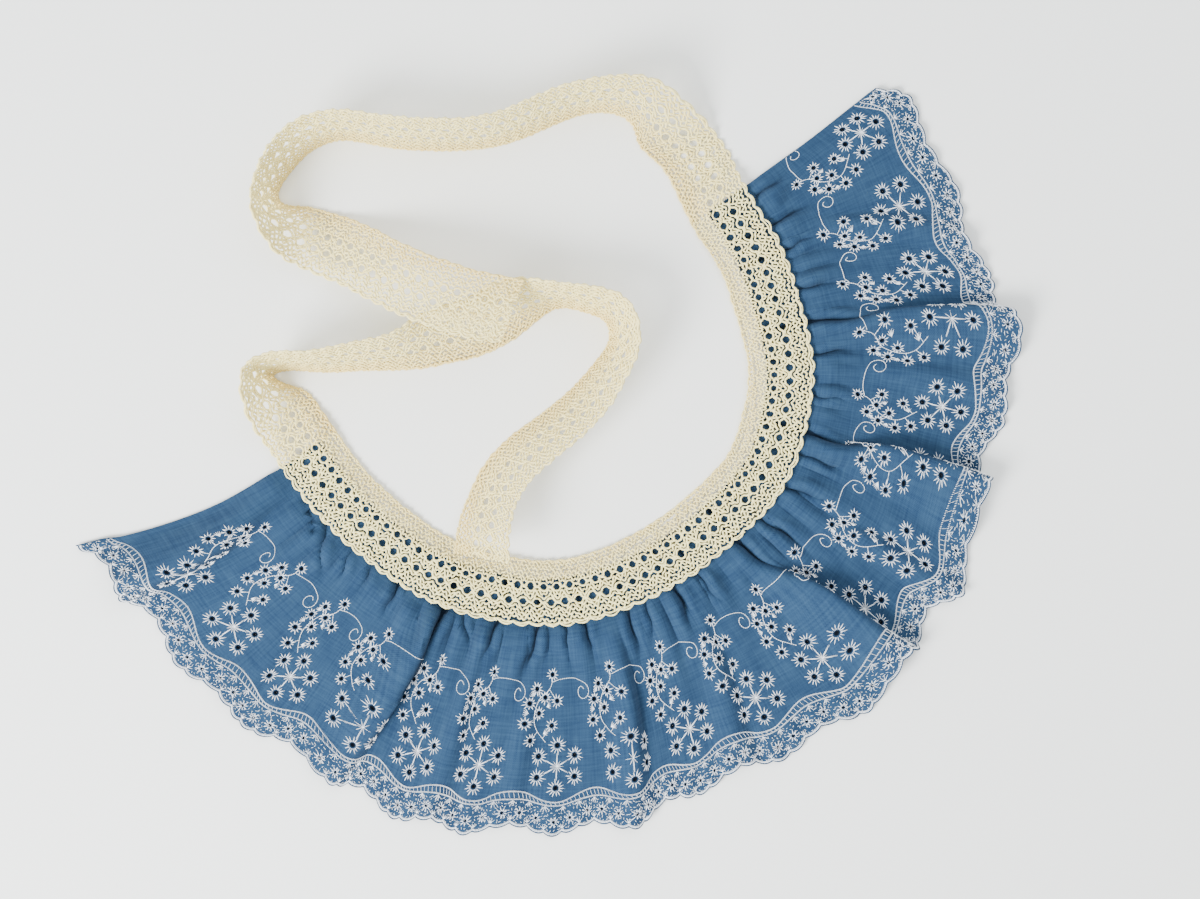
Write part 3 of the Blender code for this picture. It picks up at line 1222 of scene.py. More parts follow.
@dataclass(frozen=True)
class YarnTree:
    """Turns each run of edges into a yarn."""

    sides: int = 4

    def build(self) -> bpy.types.NodeTree:
        """Makes the tree.

        Returns:
            A geometry tree with the inputs Paths, Yarn radius, Sides and Finish.
        """
        tree = bpy.data.node_groups.new("Yarns", "GeometryNodeTree")
        build = TreeBuilder(tree)
        build.socket("Paths", "Geometry")
        build.socket("Yarn radius", "Float", default=0.00036)
        build.socket("Sides", "Int", default=self.sides)
        build.socket("Finish", "Material")
        build.socket("Yarns", "Geometry", out=True)
        given = build.add("NodeGroupInput").outputs
        paths = build.feed(build.add("GeometryNodeMeshToCurve"), Mesh=given["Paths"])
        length = build.add("GeometryNodeSplineParameter").outputs["Length"]
        paths = build.store(paths, "length", length)
        ring = build.add("GeometryNodeCurvePrimitiveCircle", mode="RADIUS")
        ring = build.feed(ring, Resolution=given["Sides"], Radius=given["Yarn radius"])
        turn = build.add("ShaderNodeVectorMath", operation="NORMALIZE")
        build.join(build.add("GeometryNodeInputPosition").outputs[0], turn.inputs[0])
        ring = build.store(ring, "turn", turn.outputs[0], "FLOAT_VECTOR")
        yarns = build.feed(
            build.add("GeometryNodeCurveToMesh"),
            Curve=paths,
            Profile_Curve=ring,
            Scale=build.read("girth"),
            Fill_Caps=True,
        )
        build.dressed(yarns, given["Finish"])
        return tree


def grow(
    name: str, guide: bpy.types.Mesh, tree: bpy.types.NodeTree, values: dict[str, object]
) -> bpy.types.Object:
    """Runs a geometry tree on a guide mesh and keeps the result as a plain mesh.

    Args:
        name: the piece's name.
        guide: the points or edges that the tree reads.
        tree: the geometry tree.
        values: the tree's inputs by name.

    Returns:
        The finished piece's object.
    """
    source = linked(name + "_guide", guide)
    modifier = source.modifiers.new("Grow", "NODES")
    modifier.node_group = tree
    for item in tree.interface.items_tree:
        if item.name in values:
            modifier[item.identifier] = values[item.name]
    graph = bpy.context.evaluated_depsgraph_get()
    mesh = bpy.data.meshes.new_from_object(
        source.evaluated_get(graph), preserve_all_data_layers=True, depsgraph=graph
    )
    bpy.data.objects.remove(source)
    mesh.name = name
    return linked(name, mesh)


def linked(name: str, data: bpy.types.ID) -> bpy.types.Object:
    """Makes an object of a mesh, light or camera and links it to the scene.

    Args:
        name: the object's name.
        data: what it shows.

    Returns:
        The new object.
    """
    made = bpy.data.objects.new(name, data)
    bpy.context.scene.collection.objects.link(made)
    return made


def guide_mesh(
    name: str, points: np.ndarray, edges: np.ndarray, values: dict[str, np.ndarray]
) -> bpy.types.Mesh:
    """Makes a mesh of points and edges that carries named values.

    Args:
        name: the mesh's name.
        points: rows of x, y and z in millimetres.
        edges: pairs of point numbers, which may be none.
        values: one number or one vector for each point, by name.

    Returns:
        The guide mesh in metres.
    """
    mesh = bpy.data.meshes.new(name)
    mesh.vertices.add(len(points))
    mesh.vertices.foreach_set("co", (points * MILLIMETRE).astype(np.float32).ravel())
    if len(edges):
        mesh.edges.add(len(edges))
        mesh.edges.foreach_set("vertices", edges.astype(np.int32).ravel())
    for key, column in values.items():
        vector = column.ndim == 2
        layer = mesh.attributes.new(key, "FLOAT_VECTOR" if vector else "FLOAT", "POINT")
        layer.data.foreach_set("vector" if vector else "value", column.astype(np.float32).ravel())
    mesh.update()
    return mesh


# Embroidery

# How far from a hole's rim the overcast stitches start and end and the rays start, in millimetres
OVERCAST_START = -0.15
OVERCAST_END = 0.58
RAY_START = 0.35
# How far the overcast stitches dip into the hole, in millimetres
OVERCAST_DIP = 0.35
# The length of every second ray, as a share of the others'
SHORT_RAY = 0.86
# How much of the gathering the holes follow: the least and the most of it, and a power
LEAST_GATHERING, MOST_GATHERING = 0.55, 1.4
ROUNDING = -0.6


class EyeletShape(NamedTuple):
    """One kind of worked hole: sizes in millimetres and numbers of stitches."""

    hole: float
    reach: float
    rays: int
    overcast: int
    sides: int


class EyeletKind(Enum):
    """The worked holes of the flowers, of the sprigs and of the hem."""

    FLOWER = EyeletShape(hole=1.35, reach=3.95, rays=14, overcast=18, sides=12)
    SPRIG = EyeletShape(hole=1.12, reach=3.10, rays=11, overcast=16, sides=12)
    HEM = EyeletShape(hole=0.65, reach=2.60, rays=9, overcast=10, sides=8)


@dataclass
class Eyelets:
    """Worked holes of one kind, placed on the flat cloth."""

    kind: EyeletKind
    along: np.ndarray
    down: np.ndarray
    narrow: np.ndarray = field(default_factory=lambda: np.ones(0))
    short: np.ndarray = field(default_factory=lambda: np.ones(0))

    def fit(self, surface: RuffleSurface) -> None:
        """Keeps the holes nearly round where the gathering presses the cloth together.

        Args:
            surface: the ruffle's surface.
        """
        forward, outward = surface.slopes(self.along, self.down)
        self.narrow, self.short = (
            np.clip(np.linalg.norm(slope, axis=1), LEAST_GATHERING, MOST_GATHERING) ** ROUNDING
            for slope in (forward, outward)
        )

    def rings(self, radius: np.ndarray | float, angles: np.ndarray) -> tuple[np.ndarray, np.ndarray]:
        """Flat positions round each hole.

        Args:
            radius: distances from the holes' middles in millimetres.
            angles: one row of angles for each hole.

        Returns:
            Positions along and down the cloth, a row for each hole.
        """
        along = self.along[:, None] + self.narrow[:, None] * radius * np.cos(angles)
        down = self.down[:, None] + self.short[:, None] * radius * np.sin(angles)
        return along, down


class StitchBook:
    """Straight stitches noted down on the flat cloth, then laid on its surface."""

    def __init__(self, seed: int) -> None:
        """Starts an empty book with its own fixed unevenness.

        Args:
            seed: the seed of the stitches' unevenness.
        """
        self.random = np.random.default_rng(seed)
        self.rows: list[np.ndarray] = []

    def note(self, start: Places, end: Places, girth: float, sunk: float = 0.0) -> None:
        """Notes stitches from one row of places to another.

        Args:
            start: where they start, along and down the cloth.
            end: where they end, along and down the cloth.
            girth: thickness as a share of the thread's.
            sunk: how far the start lies below the end, in millimetres.
        """
        columns = np.broadcast_arrays(*start, *end, girth, sunk)
        self.rows.append(np.stack([np.ravel(column) for column in columns], axis=1).astype(float))

    def line(self, along: np.ndarray, down: np.ndarray, girth: float, pitch: float = 1.0) -> None:
        """Notes a line of stem stitches through points.

        Args:
            along: the points' positions along the cloth.
            down: the points' positions down the cloth.
            girth: thickness as a share of the thread's.
            pitch: length of a stitch in millimetres.
        """
        run = chords(np.stack([along, down], axis=1))
        ends = np.linspace(0.0, run[-1], max(2, int(run[-1] / pitch) + 1))
        at_along, at_down = np.interp(ends, run, along), np.interp(ends, run, down)
        self.note((at_along[:-1], at_down[:-1]), (at_along[1:], at_down[1:]), girth)

    def burst(self, eyelets: Eyelets) -> None:
        """Notes the overcast ring and the rays of each worked hole.

        Args:
            eyelets: the holes.
        """
        shape = eyelets.kind.value
        count = len(eyelets.along)
        overcast = (shape.hole + OVERCAST_END,)
        rays = (shape.reach, SHORT_RAY * shape.reach)
        for number, start, ends, girth, sunk in (
            (shape.overcast, shape.hole + OVERCAST_START, overcast, 1.1, OVERCAST_DIP),
            (shape.rays, shape.hole + RAY_START, rays, 1.15, 0.0),
        ):
            turn = np.arange(number) * FULL_TURN / number
            uneven = self.random.uniform(-0.07, 0.07, (count, number))
            angles = turn + uneven + self.random.uniform(0, 6, (count, 1))
            length = np.array([ends[i % len(ends)] for i in range(number)])
            length = length * self.random.uniform(0.92, 1.08, (count, number))
            self.note(eyelets.rings(start, angles), eyelets.rings(length, angles), girth, sunk)

    def laid(self, surface: RuffleSurface, height: Heights) -> bpy.types.Mesh:
        """Lays the stitches on the ruffle.

        Args:
            surface: the ruffle's surface.
            height: gives the height of the threads' middles over the underside.

        Returns:
            The guide mesh that the stitch tree reads.
        """
        book = np.concatenate(self.rows)
        first, last = book[:, [0, 2]].min(axis=1), book[:, [0, 2]].max(axis=1)
        book = book[(first > 0.4) & (last < surface.cut.length - 0.4)]
        start_along, start_down, end_along, end_down, girth, sunk = book.T
        start = surface.lifted(start_along, start_down, height(start_along, start_down) - sunk)
        end = surface.lifted(end_along, end_down, height(end_along, end_down))
        normal = surface.normals((start_along + end_along) / 2.0, (start_down + end_down) / 2.0)
        length = np.linalg.norm(end - start, axis=1)
        return guide_mesh(
            "stitches",
            (start + end) / 2.0 + normal * self.random.uniform(-0.03, 0.05, (len(book), 1)),
            np.zeros((0, 2)),
            {
                "run": unit(end - start),
                "out": normal,
                "span": (length * 1.12 + 0.1) * MILLIMETRE,
                "girth": girth * self.random.uniform(0.9, 1.1, len(book)),
                "tone": self.random.uniform(0.55, 0.95, len(book)),
            },
        )


@dataclass
class Motif:
    """One embroidered spray: a flower of six eyelets, a sprig, a lone eyelet and a curl.

    Places are in millimetres from the flower's middle, with y towards the lace.
    """

    above_hem: float = 27.4
    petal_ring: float = 9.1
    petal_widening: float = 1.14
    middle_reach: float = 5.3
    branch_end: float = 1.9
    leaf: float = 2.3
    sprig: Table = (
        (-14.6, 11.6),
        (-3.2, 17.6),
        (-18.0, 18.8),
        (-10.6, 23.0),
        (-16.4, 27.4),
        (-7.4, 29.8),
        (-12.6, 33.6),
        (-0.4, 28.2),
    )
    lone: tuple[float, float] = (-3.2, 39.6)
    stem: Table = (
        (-6.0, 10.5),
        (-9.6, 14.0),
        (-13.2, 18.6),
        (-13.2, 24.4),
        (-9.8, 30.0),
        (-4.6, 33.8),
        (-3.2, 37.0),
    )
    leaves: Table = ((-7.4, 14.2, 25.0), (-16.8, 23.2, 170.0), (-6.2, 25.8, 20.0), (-14.2, 30.6, 140.0))
    curl: Table = (
        (-2.8, 36.4),
        (0.6, 37.3),
        (5.0, 37.7),
        (10.0, 37.5),
        (14.6, 36.2),
        (18.2, 33.8),
        (18.6, 30.2),
        (15.8, 28.2),
        (12.6, 29.6),
        (12.5, 32.5),
        (14.8, 33.7),
        (16.2, 32.4),
    )

    def middles(self, cut: RuffleCut) -> tuple[np.ndarray, float]:
        """Where the flowers' middles lie along and down the cloth."""
        count = int((cut.length - cut.first_scallop) / cut.scallop_pitch) + 1
        return cut.first_scallop + cut.scallop_pitch * np.arange(count), cut.depth - self.above_hem

    def eyelets(self, cut: RuffleCut) -> list[Eyelets]:
        """The worked holes of every spray.

        Args:
            cut: the ruffle's cut.

        Returns:
            The flowers' holes and the sprigs' holes.
        """
        middles, down = self.middles(cut)
        turn = math.radians(90.0) + np.arange(6) * math.pi / 3.0
        petals = np.stack([np.cos(turn) * self.petal_widening, np.sin(turn)], axis=1) * self.petal_ring
        small = np.array([*self.sprig, self.lone])
        found = []
        for kind, spots in ((EyeletKind.FLOWER, petals), (EyeletKind.SPRIG, small)):
            along = (middles[:, None] + spots[:, 0]).ravel()
            deep = np.broadcast_to(down - spots[:, 1], (len(middles), len(spots))).ravel()
            inside = (along > 2.5) & (along < cut.length - 2.5)
            found.append(Eyelets(kind, along[inside], deep[inside]))
        return found

    def stitch(self, book: StitchBook, cut: RuffleCut) -> None:
        """Notes every spray's stem and curl, its flower's middle, its branches and its leaves.

        Args:
            book: the book that takes the stitches.
            cut: the ruffle's cut.
        """
        middles, down = self.middles(cut)
        stem = smoothed(self.stem, 40)
        curl = smoothed(self.curl, 60)
        for middle in middles:
            book.line(middle + stem[:, 0], down - stem[:, 1], 0.95)
            book.line(middle + curl[:, 0], down - curl[:, 1], 0.9, 1.1)
            self.stitch_middle(book, np.array([middle, down]))
            for spot in np.array(self.sprig):
                nearest = stem[np.argmin(np.linalg.norm(stem - spot, axis=1))]
                branch = np.stack([nearest, spot + self.branch_end * unit(nearest - spot)])
                book.line(middle + branch[:, 0], down - branch[:, 1], 0.9)
            for x, y, lean in self.leaves:
                root = np.array([middle + x, down - y])
                for fan in np.radians(lean + np.array([-42.0, -21.0, 0.0, 21.0, 42.0])):
                    book.note(root, root + self.leaf * np.array([math.cos(fan), -math.sin(fan)]), 1.0)

    def stitch_middle(self, book: StitchBook, middle: np.ndarray) -> None:
        """Notes the star in a flower: two long stitches to each petal and a short one between.

        Args:
            book: the book that takes the stitches.
            middle: the flower's middle, along and down the cloth.
        """
        for number, arm in enumerate(np.radians(np.arange(0.0, 360.0, 30.0))):
            to_petal = number % 2 == 1
            away = np.array([self.petal_widening * math.cos(arm), math.sin(arm)])
            aside = np.array([-away[1], away[0]])
            near = middle + 0.2 * away
            reach = self.middle_reach if to_petal else 0.45 * self.middle_reach
            for side in (-0.12, 0.12) if to_petal else (0.0,):
                book.note(near + side * aside, near + side * aside + reach * away, 0.75)


@dataclass
class HemBorder:
    """The border along the hem: a waving double line, small flowers in a net, and an overcast edge."""

    line_above_edge: float = 13.6
    line_wave: float = 2.2
    line_gap: float = 2.4
    line_swell: float = 0.5
    cord_pitch: float = 0.52
    cord_width: float = 0.52
    rung_pitch: float = 1.9
    flower_above_edge: float = 6.3
    seed_pitch: float = 1.45
    seed_rows: int = 6
    overcast_pitch: float = 0.48
    overcast_width: float = 0.75
    bare_edge: float = 0.72

    def line_down(self, along: np.ndarray, cut: RuffleCut, side: float = 0.0) -> np.ndarray:
        """How deep the double line runs.

        Args:
            along: positions along the cloth in millimetres.
            cut: the ruffle's cut.
            side: -1 for the line towards the lace, 1 for the one towards the edge, 0 for halfway.

        Returns:
            Depths in millimetres.
        """
        wave = np.cos(cut.scallop_turn(along))
        apart = 0.5 * self.line_gap - self.line_swell * wave
        return cut.depth - self.line_above_edge + self.line_wave * wave + side * apart

    def eyelets(self, cut: RuffleCut) -> Eyelets:
        """The small flowers' holes, one over each small scallop.

        Args:
            cut: the ruffle's cut.

        Returns:
            The holes.
        """
        pitch = cut.scallop_pitch / cut.small_scallops
        along = np.arange(cut.first_scallop % pitch, cut.length, pitch)
        along = along[(along > 2.2) & (along < cut.length - 2.2)]
        wave = np.cos(cut.scallop_turn(along))
        down = cut.depth - self.flower_above_edge + 0.5 * cut.scallop_depth * wave
        return Eyelets(EyeletKind.HEM, along, down)

    def cord(
        self, book: StitchBook, places: np.ndarray, width: float, pitch: float, lean: float, girth: float
    ) -> None:
        """Notes close slanted stitches that cover a line like a cord.

        Args:
            book: the book that takes the stitches.
            places: rows of places along and down the cloth, close together.
            width: the cord's width in millimetres.
            pitch: from one stitch to the next in millimetres.
            lean: how far a stitch runs along the cord, in millimetres.
            girth: thickness as a share of the thread's.
        """
        run = chords(places)
        steps = np.arange(0.5 * pitch, run[-1], pitch)
        middle = np.column_stack([np.interp(steps, run, column) for column in places.T])
        later = np.column_stack([np.interp(steps + 0.2, run, column) for column in places.T])
        forward = unit(later - middle)
        aside = np.column_stack([-forward[:, 1], forward[:, 0]])
        reach = 0.5 * width * aside + 0.5 * lean * forward
        book.note((middle - reach).T, (middle + reach).T, girth)

    def stitch(self, book: StitchBook, cut: RuffleCut) -> None:
        """Notes the border's lines, fans, seeds and overcast edge.

        Args:
            book: the book that takes the stitches.
            cut: the ruffle's cut.
        """
        along = np.linspace(0.5, cut.length - 0.5, 3000)
        for side in (-1.0, 1.0):
            places = np.column_stack([along, self.line_down(along, cut, side)])
            self.cord(book, places, self.cord_width, self.cord_pitch, 0.45, 0.85)
        rungs = np.arange(1.0, cut.length - 1.0, self.rung_pitch)
        upper, lower = (self.line_down(rungs, cut, side) for side in (-0.7, 0.7))
        book.note((rungs - 0.4, upper), (rungs + 0.4, lower), 0.5)
        self.stitch_fans(book, cut)
        self.stitch_seeds(book, cut)
        inside = 0.5 * self.overcast_width + self.bare_edge
        places = np.column_stack([along, cut.hem_edge(along) - inside])
        self.cord(book, places, self.overcast_width, self.overcast_pitch, 0.25, 1.15)
        book.line(along, cut.hem_edge(along) - self.bare_edge, 0.9, 0.8)

    def stitch_fans(self, book: StitchBook, cut: RuffleCut) -> None:
        """Notes fans of four stitches between the small flowers, down from the line and up from the edge.

        Args:
            book: the book that takes the stitches.
            cut: the ruffle's cut.
        """
        middle = self.eyelets(cut).along + 0.5 * cut.scallop_pitch / cut.small_scallops
        line_root = self.line_down(middle, cut, 1.0) + 0.5
        edge_root = cut.hem_edge(middle) - 1.5
        for fan in np.radians((-50.0, -17.0, 17.0, 50.0)):
            for root, reach, way in ((line_root, 2.2, 1.0), (edge_root, 1.9, -1.0)):
                tip = root + way * reach * math.cos(fan)
                book.note((middle, root), (middle + reach * math.sin(fan), tip), 0.85)

    def stitch_seeds(self, book: StitchBook, cut: RuffleCut) -> None:
        """Notes loose seed stitches that fill the border between its line and its edge.

        Args:
            book: the book that takes the stitches.
            cut: the ruffle's cut.
        """
        columns = int(cut.length / self.seed_pitch)
        count = columns * self.seed_rows
        column, row = np.divmod(np.arange(count), self.seed_rows)
        along = (column + book.random.uniform(0.15, 0.85, count)) * cut.length / columns
        share = (row + book.random.uniform(0.15, 0.85, count)) / self.seed_rows
        top = self.line_down(along, cut, 1.0) + 0.6
        down = top + share * (cut.hem_edge(along) - 1.4 - top)
        turn = book.random.uniform(0.0, math.pi, count)
        reach = book.random.uniform(0.25, 0.5, count)
        run, fall = reach * np.cos(turn), reach * np.sin(turn)
        book.note((along - run, down - fall), (along + run, down + fall), 0.7)

# The ruffle


@dataclass
class Ruffle:
    """The gathered eyelet ruffle: its cloth and its two pieces of embroidery."""

    cut: RuffleCut = field(default_factory=RuffleCut)
    motif: Motif = field(default_factory=Motif)
    border: HemBorder = field(default_factory=HemBorder)
    thickness: float = 0.45
    clear: float = 0.75
    clear_at_hem: float = 0.25
    clear_run: float = 13.0
    hole_foot: float = 0.12
    sill: float = -0.05
    lowest: float = 0.02
    # How strongly shade is painted into the bottoms of the tight creases
    painted_crease_shade: float = 0.34
    edge_spacing: float = 0.75
    spacing: float = 1.66
    fine_spacing: float = 1.15
    fine_row: float = 1.85
    fine_depth: float = 52.0
    extra_under_lace: float = 3.0
    thread_radius: float = 0.19

    def __post_init__(self) -> None:
        """Works out the surface and the worked holes."""
        self.surface = RuffleSurface(self.cut)
        self.holes = [*self.motif.eyelets(self.cut), self.border.eyelets(self.cut)]
        for group in self.holes:
            group.fit(self.surface)

    def lift(self, along: np.ndarray, down: np.ndarray) -> np.ndarray:
        """How far the cloth stands off its underside: less towards the hem."""
        share = smooth_step((self.cut.hem_edge(along) - down) / self.clear_run)
        return self.clear_at_hem + (self.clear - self.clear_at_hem) * share

    def thread_height(self, along: np.ndarray, down: np.ndarray) -> np.ndarray:
        """How high the middles of the embroidery threads lie."""
        return self.lift(along, down) + self.thickness + 0.6 * self.thread_radius

    def funnels(self, spots: np.ndarray) -> tuple[np.ndarray, np.ndarray]:
        """Turns the cloth's lower face in and down round each worked hole.

        Args:
            spots: flat points of the net.

        Returns:
            The lower face's flat points, and how far each lies below the lower face.
        """
        lower, sunk = spots.copy(), np.zeros(len(spots))
        for group in self.holes:
            hole = group.kind.value.hole
            for along, down, narrow, short in zip(group.along, group.down, group.narrow, group.short):
                offset = spots - (along, down)
                reach = np.hypot(offset[:, 0] / narrow, offset[:, 1] / short) / hole
                rim = np.abs(reach - 1.0) < 0.03
                lower[rim] = (along, down) + offset[rim] * self.hole_foot
                sunk[rim] = 1.0
        return lower, sunk

    def outline(self) -> np.ndarray:
        """The flat cut's edge, once round from its top left corner.

        Returns:
            Points along and down the cloth.
        """
        cut, top = self.cut, -self.extra_under_lace
        edge_along = np.linspace(cut.length, 0.0, int(cut.length / self.edge_spacing))
        hem = np.stack([edge_along, cut.hem_edge(edge_along)], axis=1)
        columns = np.linspace(0.0, cut.length, 460)
        right, left = (np.linspace(top, end, 70)[1:-1] for end in hem[[0, -1], 1])
        return np.concatenate([
            np.stack([columns, np.full_like(columns, top)], axis=1),
            np.stack([np.full_like(right, cut.length), right], axis=1),
            hem,
            np.stack([np.zeros_like(left), left[::-1]], axis=1),
        ])

    def grid(self, rounds: np.ndarray) -> np.ndarray:
        """Points spread over the flat cut, closer together where it is gathered most.

        Args:
            rounds: each hole's place and its half sizes along and down the cloth.

        Returns:
            The points that lie clear of the edge and of the holes.
        """
        cut = self.cut
        rows = []
        down = 1.2 - self.extra_under_lace
        while down < cut.depth + 0.5 * cut.scallop_depth:
            fine = down < self.fine_depth
            pitch = self.fine_spacing if fine else self.spacing
            start = (0.7 + 0.5 * (len(rows) % 2)) * pitch
            across = np.arange(start, cut.length - 0.9, pitch)
            rows.append(np.stack([across, np.full_like(across, down)], axis=1))
            down += self.fine_row if fine else 0.866 * self.spacing
        grid = np.concatenate(rows)
        grid = grid[grid[:, 1] < cut.hem_edge(grid[:, 0]) - 0.7]
        for along, down, wide, deep in rounds:
            near = (np.abs(grid[:, 0] - along) < wide + 0.7) & (np.abs(grid[:, 1] - down) < deep + 0.7)
            off = ((grid[:, 0] - along) / (wide + 0.45)) ** 2 + ((grid[:, 1] - down) / (deep + 0.45)) ** 2
            grid = grid[~(near & (off < 1.0))]
        return grid

    def flat_net(self) -> tuple[np.ndarray, np.ndarray]:
        """Triangulates the flat cut round its holes.

        Returns:
            The flat points, and triangles as point numbers.
        """
        cut = self.cut
        loops, rounds = [self.outline()], []
        for group in self.holes:
            shape = group.kind.value
            turn = np.arange(shape.sides) * FULL_TURN / shape.sides
            along, down = group.rings(shape.hole, np.broadcast_to(turn, (len(group.along), shape.sides)))
            loops.extend(np.stack([along, down], axis=2))
            half_sizes = (shape.hole * group.narrow, shape.hole * group.short)
            rounds.append(np.stack([group.along, group.down, *half_sizes], axis=1))
        rounds = np.concatenate(rounds)
        edges, used = [], 0
        for loop in loops:
            numbers = range(used, used + len(loop))
            edges.extend(zip(numbers, (*numbers[1:], used)))
            used += len(loop)
        flat = np.concatenate([*loops, self.grid(rounds)])
        result = delaunay_2d_cdt([Vector(point) for point in flat], edges, [], 0, 1e-5)
        spots = np.array([tuple(point) for point in result[0]])
        faces = np.array([face for face in result[2] if len(face) == 3])
        middle = spots[faces].mean(axis=1)
        sides = np.linalg.norm(spots[faces] - spots[np.roll(faces, 1, axis=1)], axis=2)
        keep = (middle[:, 1] < cut.hem_edge(middle[:, 0]) + 0.02) & (sides.max(axis=1) < 3.0 * self.spacing)
        keep &= (middle[:, 0] > 0.0) & (middle[:, 0] < cut.length) & (middle[:, 1] > -self.extra_under_lace)
        for along, down, wide, deep in rounds:
            keep &= ((middle[:, 0] - along) / wide) ** 2 + ((middle[:, 1] - down) / deep) ** 2 > 0.96
        return spots, faces[keep]

    def shell(self) -> tuple[np.ndarray, np.ndarray]:
        """The flat net cleaned up: only the points in use, and all triangles turned the same way.

        Returns:
            The flat points, and triangles as point numbers.
        """
        spots, faces = self.flat_net()
        first, second, third = spots[faces[:, 0]], spots[faces[:, 1]], spots[faces[:, 2]]
        turned = np.cross(second - first, third - first) > 0
        faces[turned] = faces[turned][:, ::-1]
        used, numbers = np.unique(faces, return_inverse=True)
        return spots[used], numbers.reshape(-1, 3)

    def cloth(self, finish: bpy.types.Material) -> bpy.types.Object:
        """Makes the cloth as a closed thin shell with its holes cut through.

        Args:
            finish: the chambray.

        Returns:
            The cloth's object.
        """
        spots, faces = self.shell()
        lift = self.lift(spots[:, 0], spots[:, 1])
        lower, sunk = self.funnels(spots)
        over = self.surface.lifted(spots[:, 0], spots[:, 1], lift + self.thickness)
        under = self.surface.lifted(lower[:, 0], lower[:, 1], lift * (1.0 - sunk) + self.sill * sunk)
        points = np.concatenate([over, under])
        points[:, 2] = np.maximum(points[:, 2], self.lowest)
        count = len(spots)
        sides = np.concatenate([faces[:, [0, 1]], faces[:, [1, 2]], faces[:, [2, 0]]])
        key = np.sort(sides, axis=1)
        _, where, times = np.unique(key[:, 0] * count + key[:, 1], return_index=True, return_counts=True)
        rim = sides[where[times == 1]]
        walls = np.stack([rim[:, 1], rim[:, 0], rim[:, 0] + count, rim[:, 1] + count], axis=1)
        corners = np.concatenate([faces.ravel(), (faces[:, ::-1] + count).ravel(), walls.ravel()])
        sizes = np.concatenate([np.full(2 * len(faces), 3), np.full(len(walls), 4)])
        mesh = bpy.data.meshes.new("ruffle_cloth")
        mesh.vertices.add(len(points))
        mesh.vertices.foreach_set("co", (points * MILLIMETRE).astype(np.float32).ravel())
        mesh.loops.add(len(corners))
        mesh.loops.foreach_set("vertex_index", corners.astype(np.int32))
        mesh.polygons.add(len(sizes))
        mesh.polygons.foreach_set("loop_start", (np.cumsum(sizes) - sizes).astype(np.int32))
        mesh.update(calc_edges=True)
        mesh.validate()
        layer = mesh.uv_layers.new(name="Cloth")
        layer.data.foreach_set("uv", spots[corners % count].astype(np.float32).ravel())
        # Painted shade for the chambray: the crease shade on the upper face, and full shade on the funnel
        # walls round the holes
        inside = mesh.attributes.new("inside", "FLOAT", "POINT")
        shade = self.painted_crease_shade * self.surface.crease_shade(spots[:, 0], spots[:, 1])
        inside.data.foreach_set("value", np.concatenate([shade, sunk]).astype(np.float32))
        mesh.materials.append(finish)
        mesh.shade_smooth()
        mesh.set_sharp_from_angle(angle=math.radians(60.0))
        return linked("ruffle_cloth", mesh)

    def embroidery(self, tree: bpy.types.NodeTree, finish: bpy.types.Material) -> list[bpy.types.Object]:
        """Lays the sprays' stitches and the border's.

        Args:
            tree: the stitch tree.
            finish: the thread's material.

        Returns:
            The two embroidery pieces.
        """
        values = {"Thread radius": self.thread_radius * MILLIMETRE, "Finish": finish}
        sprays, hem = StitchBook(seed=7), StitchBook(seed=11)
        for group in self.holes[:2]:
            sprays.burst(group)
        self.motif.stitch(sprays, self.cut)
        hem.burst(self.holes[2])
        self.border.stitch(hem, self.cut)
        return [
            grow("spray_embroidery", sprays.laid(self.surface, self.thread_height), tree, values),
            grow("hem_embroidery", hem.laid(self.surface, self.thread_height), tree, values),
        ]


# The lace


class YarnRow(NamedTuple):
    """How one long yarn runs: its place across the lace and how far it swings, in millimetres."""

    place: float
    sway: float = 0.0
    ripple: float = 0.0
    picot: float = 0.0


@dataclass(frozen=True)
class LacePattern:
    """The lace's yarns across its width: dense bands of small holes round two rows of large ones."""

    repeat: float = 5.8
    samples: int = 12
    small_holes: int = 3
    yarn_radius: float = 0.485
    wrap_girth: float = 0.74
    wrap_share: float = 0.4
    wrap_lap: float = 0.22
    sway: float = 0.80
    ripple: float = 0.42
    squareness: float = 1.9
    inner_band: tuple[float, float, int] = (0.9, 9.9, 7)
    middle_band: tuple[float, float, int] = (11.9, 16.5, 4)
    outer_band: tuple[float, float, int] = (18.7, 24.9, 5)
    band_gap: float = 1.9
    picot_place: float = 26.3
    picot_reach: float = 1.5
    picot_roundness: float = 0.8

    def rows(self) -> list[YarnRow]:
        """The long yarns from the inner edge out.

        Returns:
            One row for each yarn.
        """
        made = [YarnRow(0.75, picot=-0.4 * self.picot_reach)]
        for number, (start, end, count) in enumerate((self.inner_band, self.middle_band, self.outer_band)):
            for i, place in enumerate(np.linspace(start, end, count)):
                share = i / (count - 1)
                sway = (-share, 1.0, 0.45 * share - 1.0)[number] * self.sway
                at_hole = (i == 0 and number > 0) or (i == count - 1 and number < 2)
                ripple = 0.0 if at_hole else self.ripple * (-1.0) ** len(made)
                made.append(YarnRow(float(place), sway, ripple))
        made.append(YarnRow(self.picot_place - 0.35, picot=0.65 * self.picot_reach))
        made.append(YarnRow(self.picot_place + 0.10, picot=self.picot_reach))
        return made

    def across(self, row: YarnRow, along: np.ndarray) -> np.ndarray:
        """Where a yarn lies across the lace.

        Args:
            row: the yarn's row.
            along: positions along the lace in millimetres.

        Returns:
            Distances from the inner edge in millimetres.
        """
        turn = FULL_TURN * along / self.repeat
        wave = np.tanh(self.squareness * np.cos(turn)) / math.tanh(self.squareness)
        loops = row.picot * np.abs(np.sin(turn / 2.0)) ** self.picot_roundness
        return row.place + row.sway * wave + row.ripple * np.cos(self.small_holes * turn) + loops


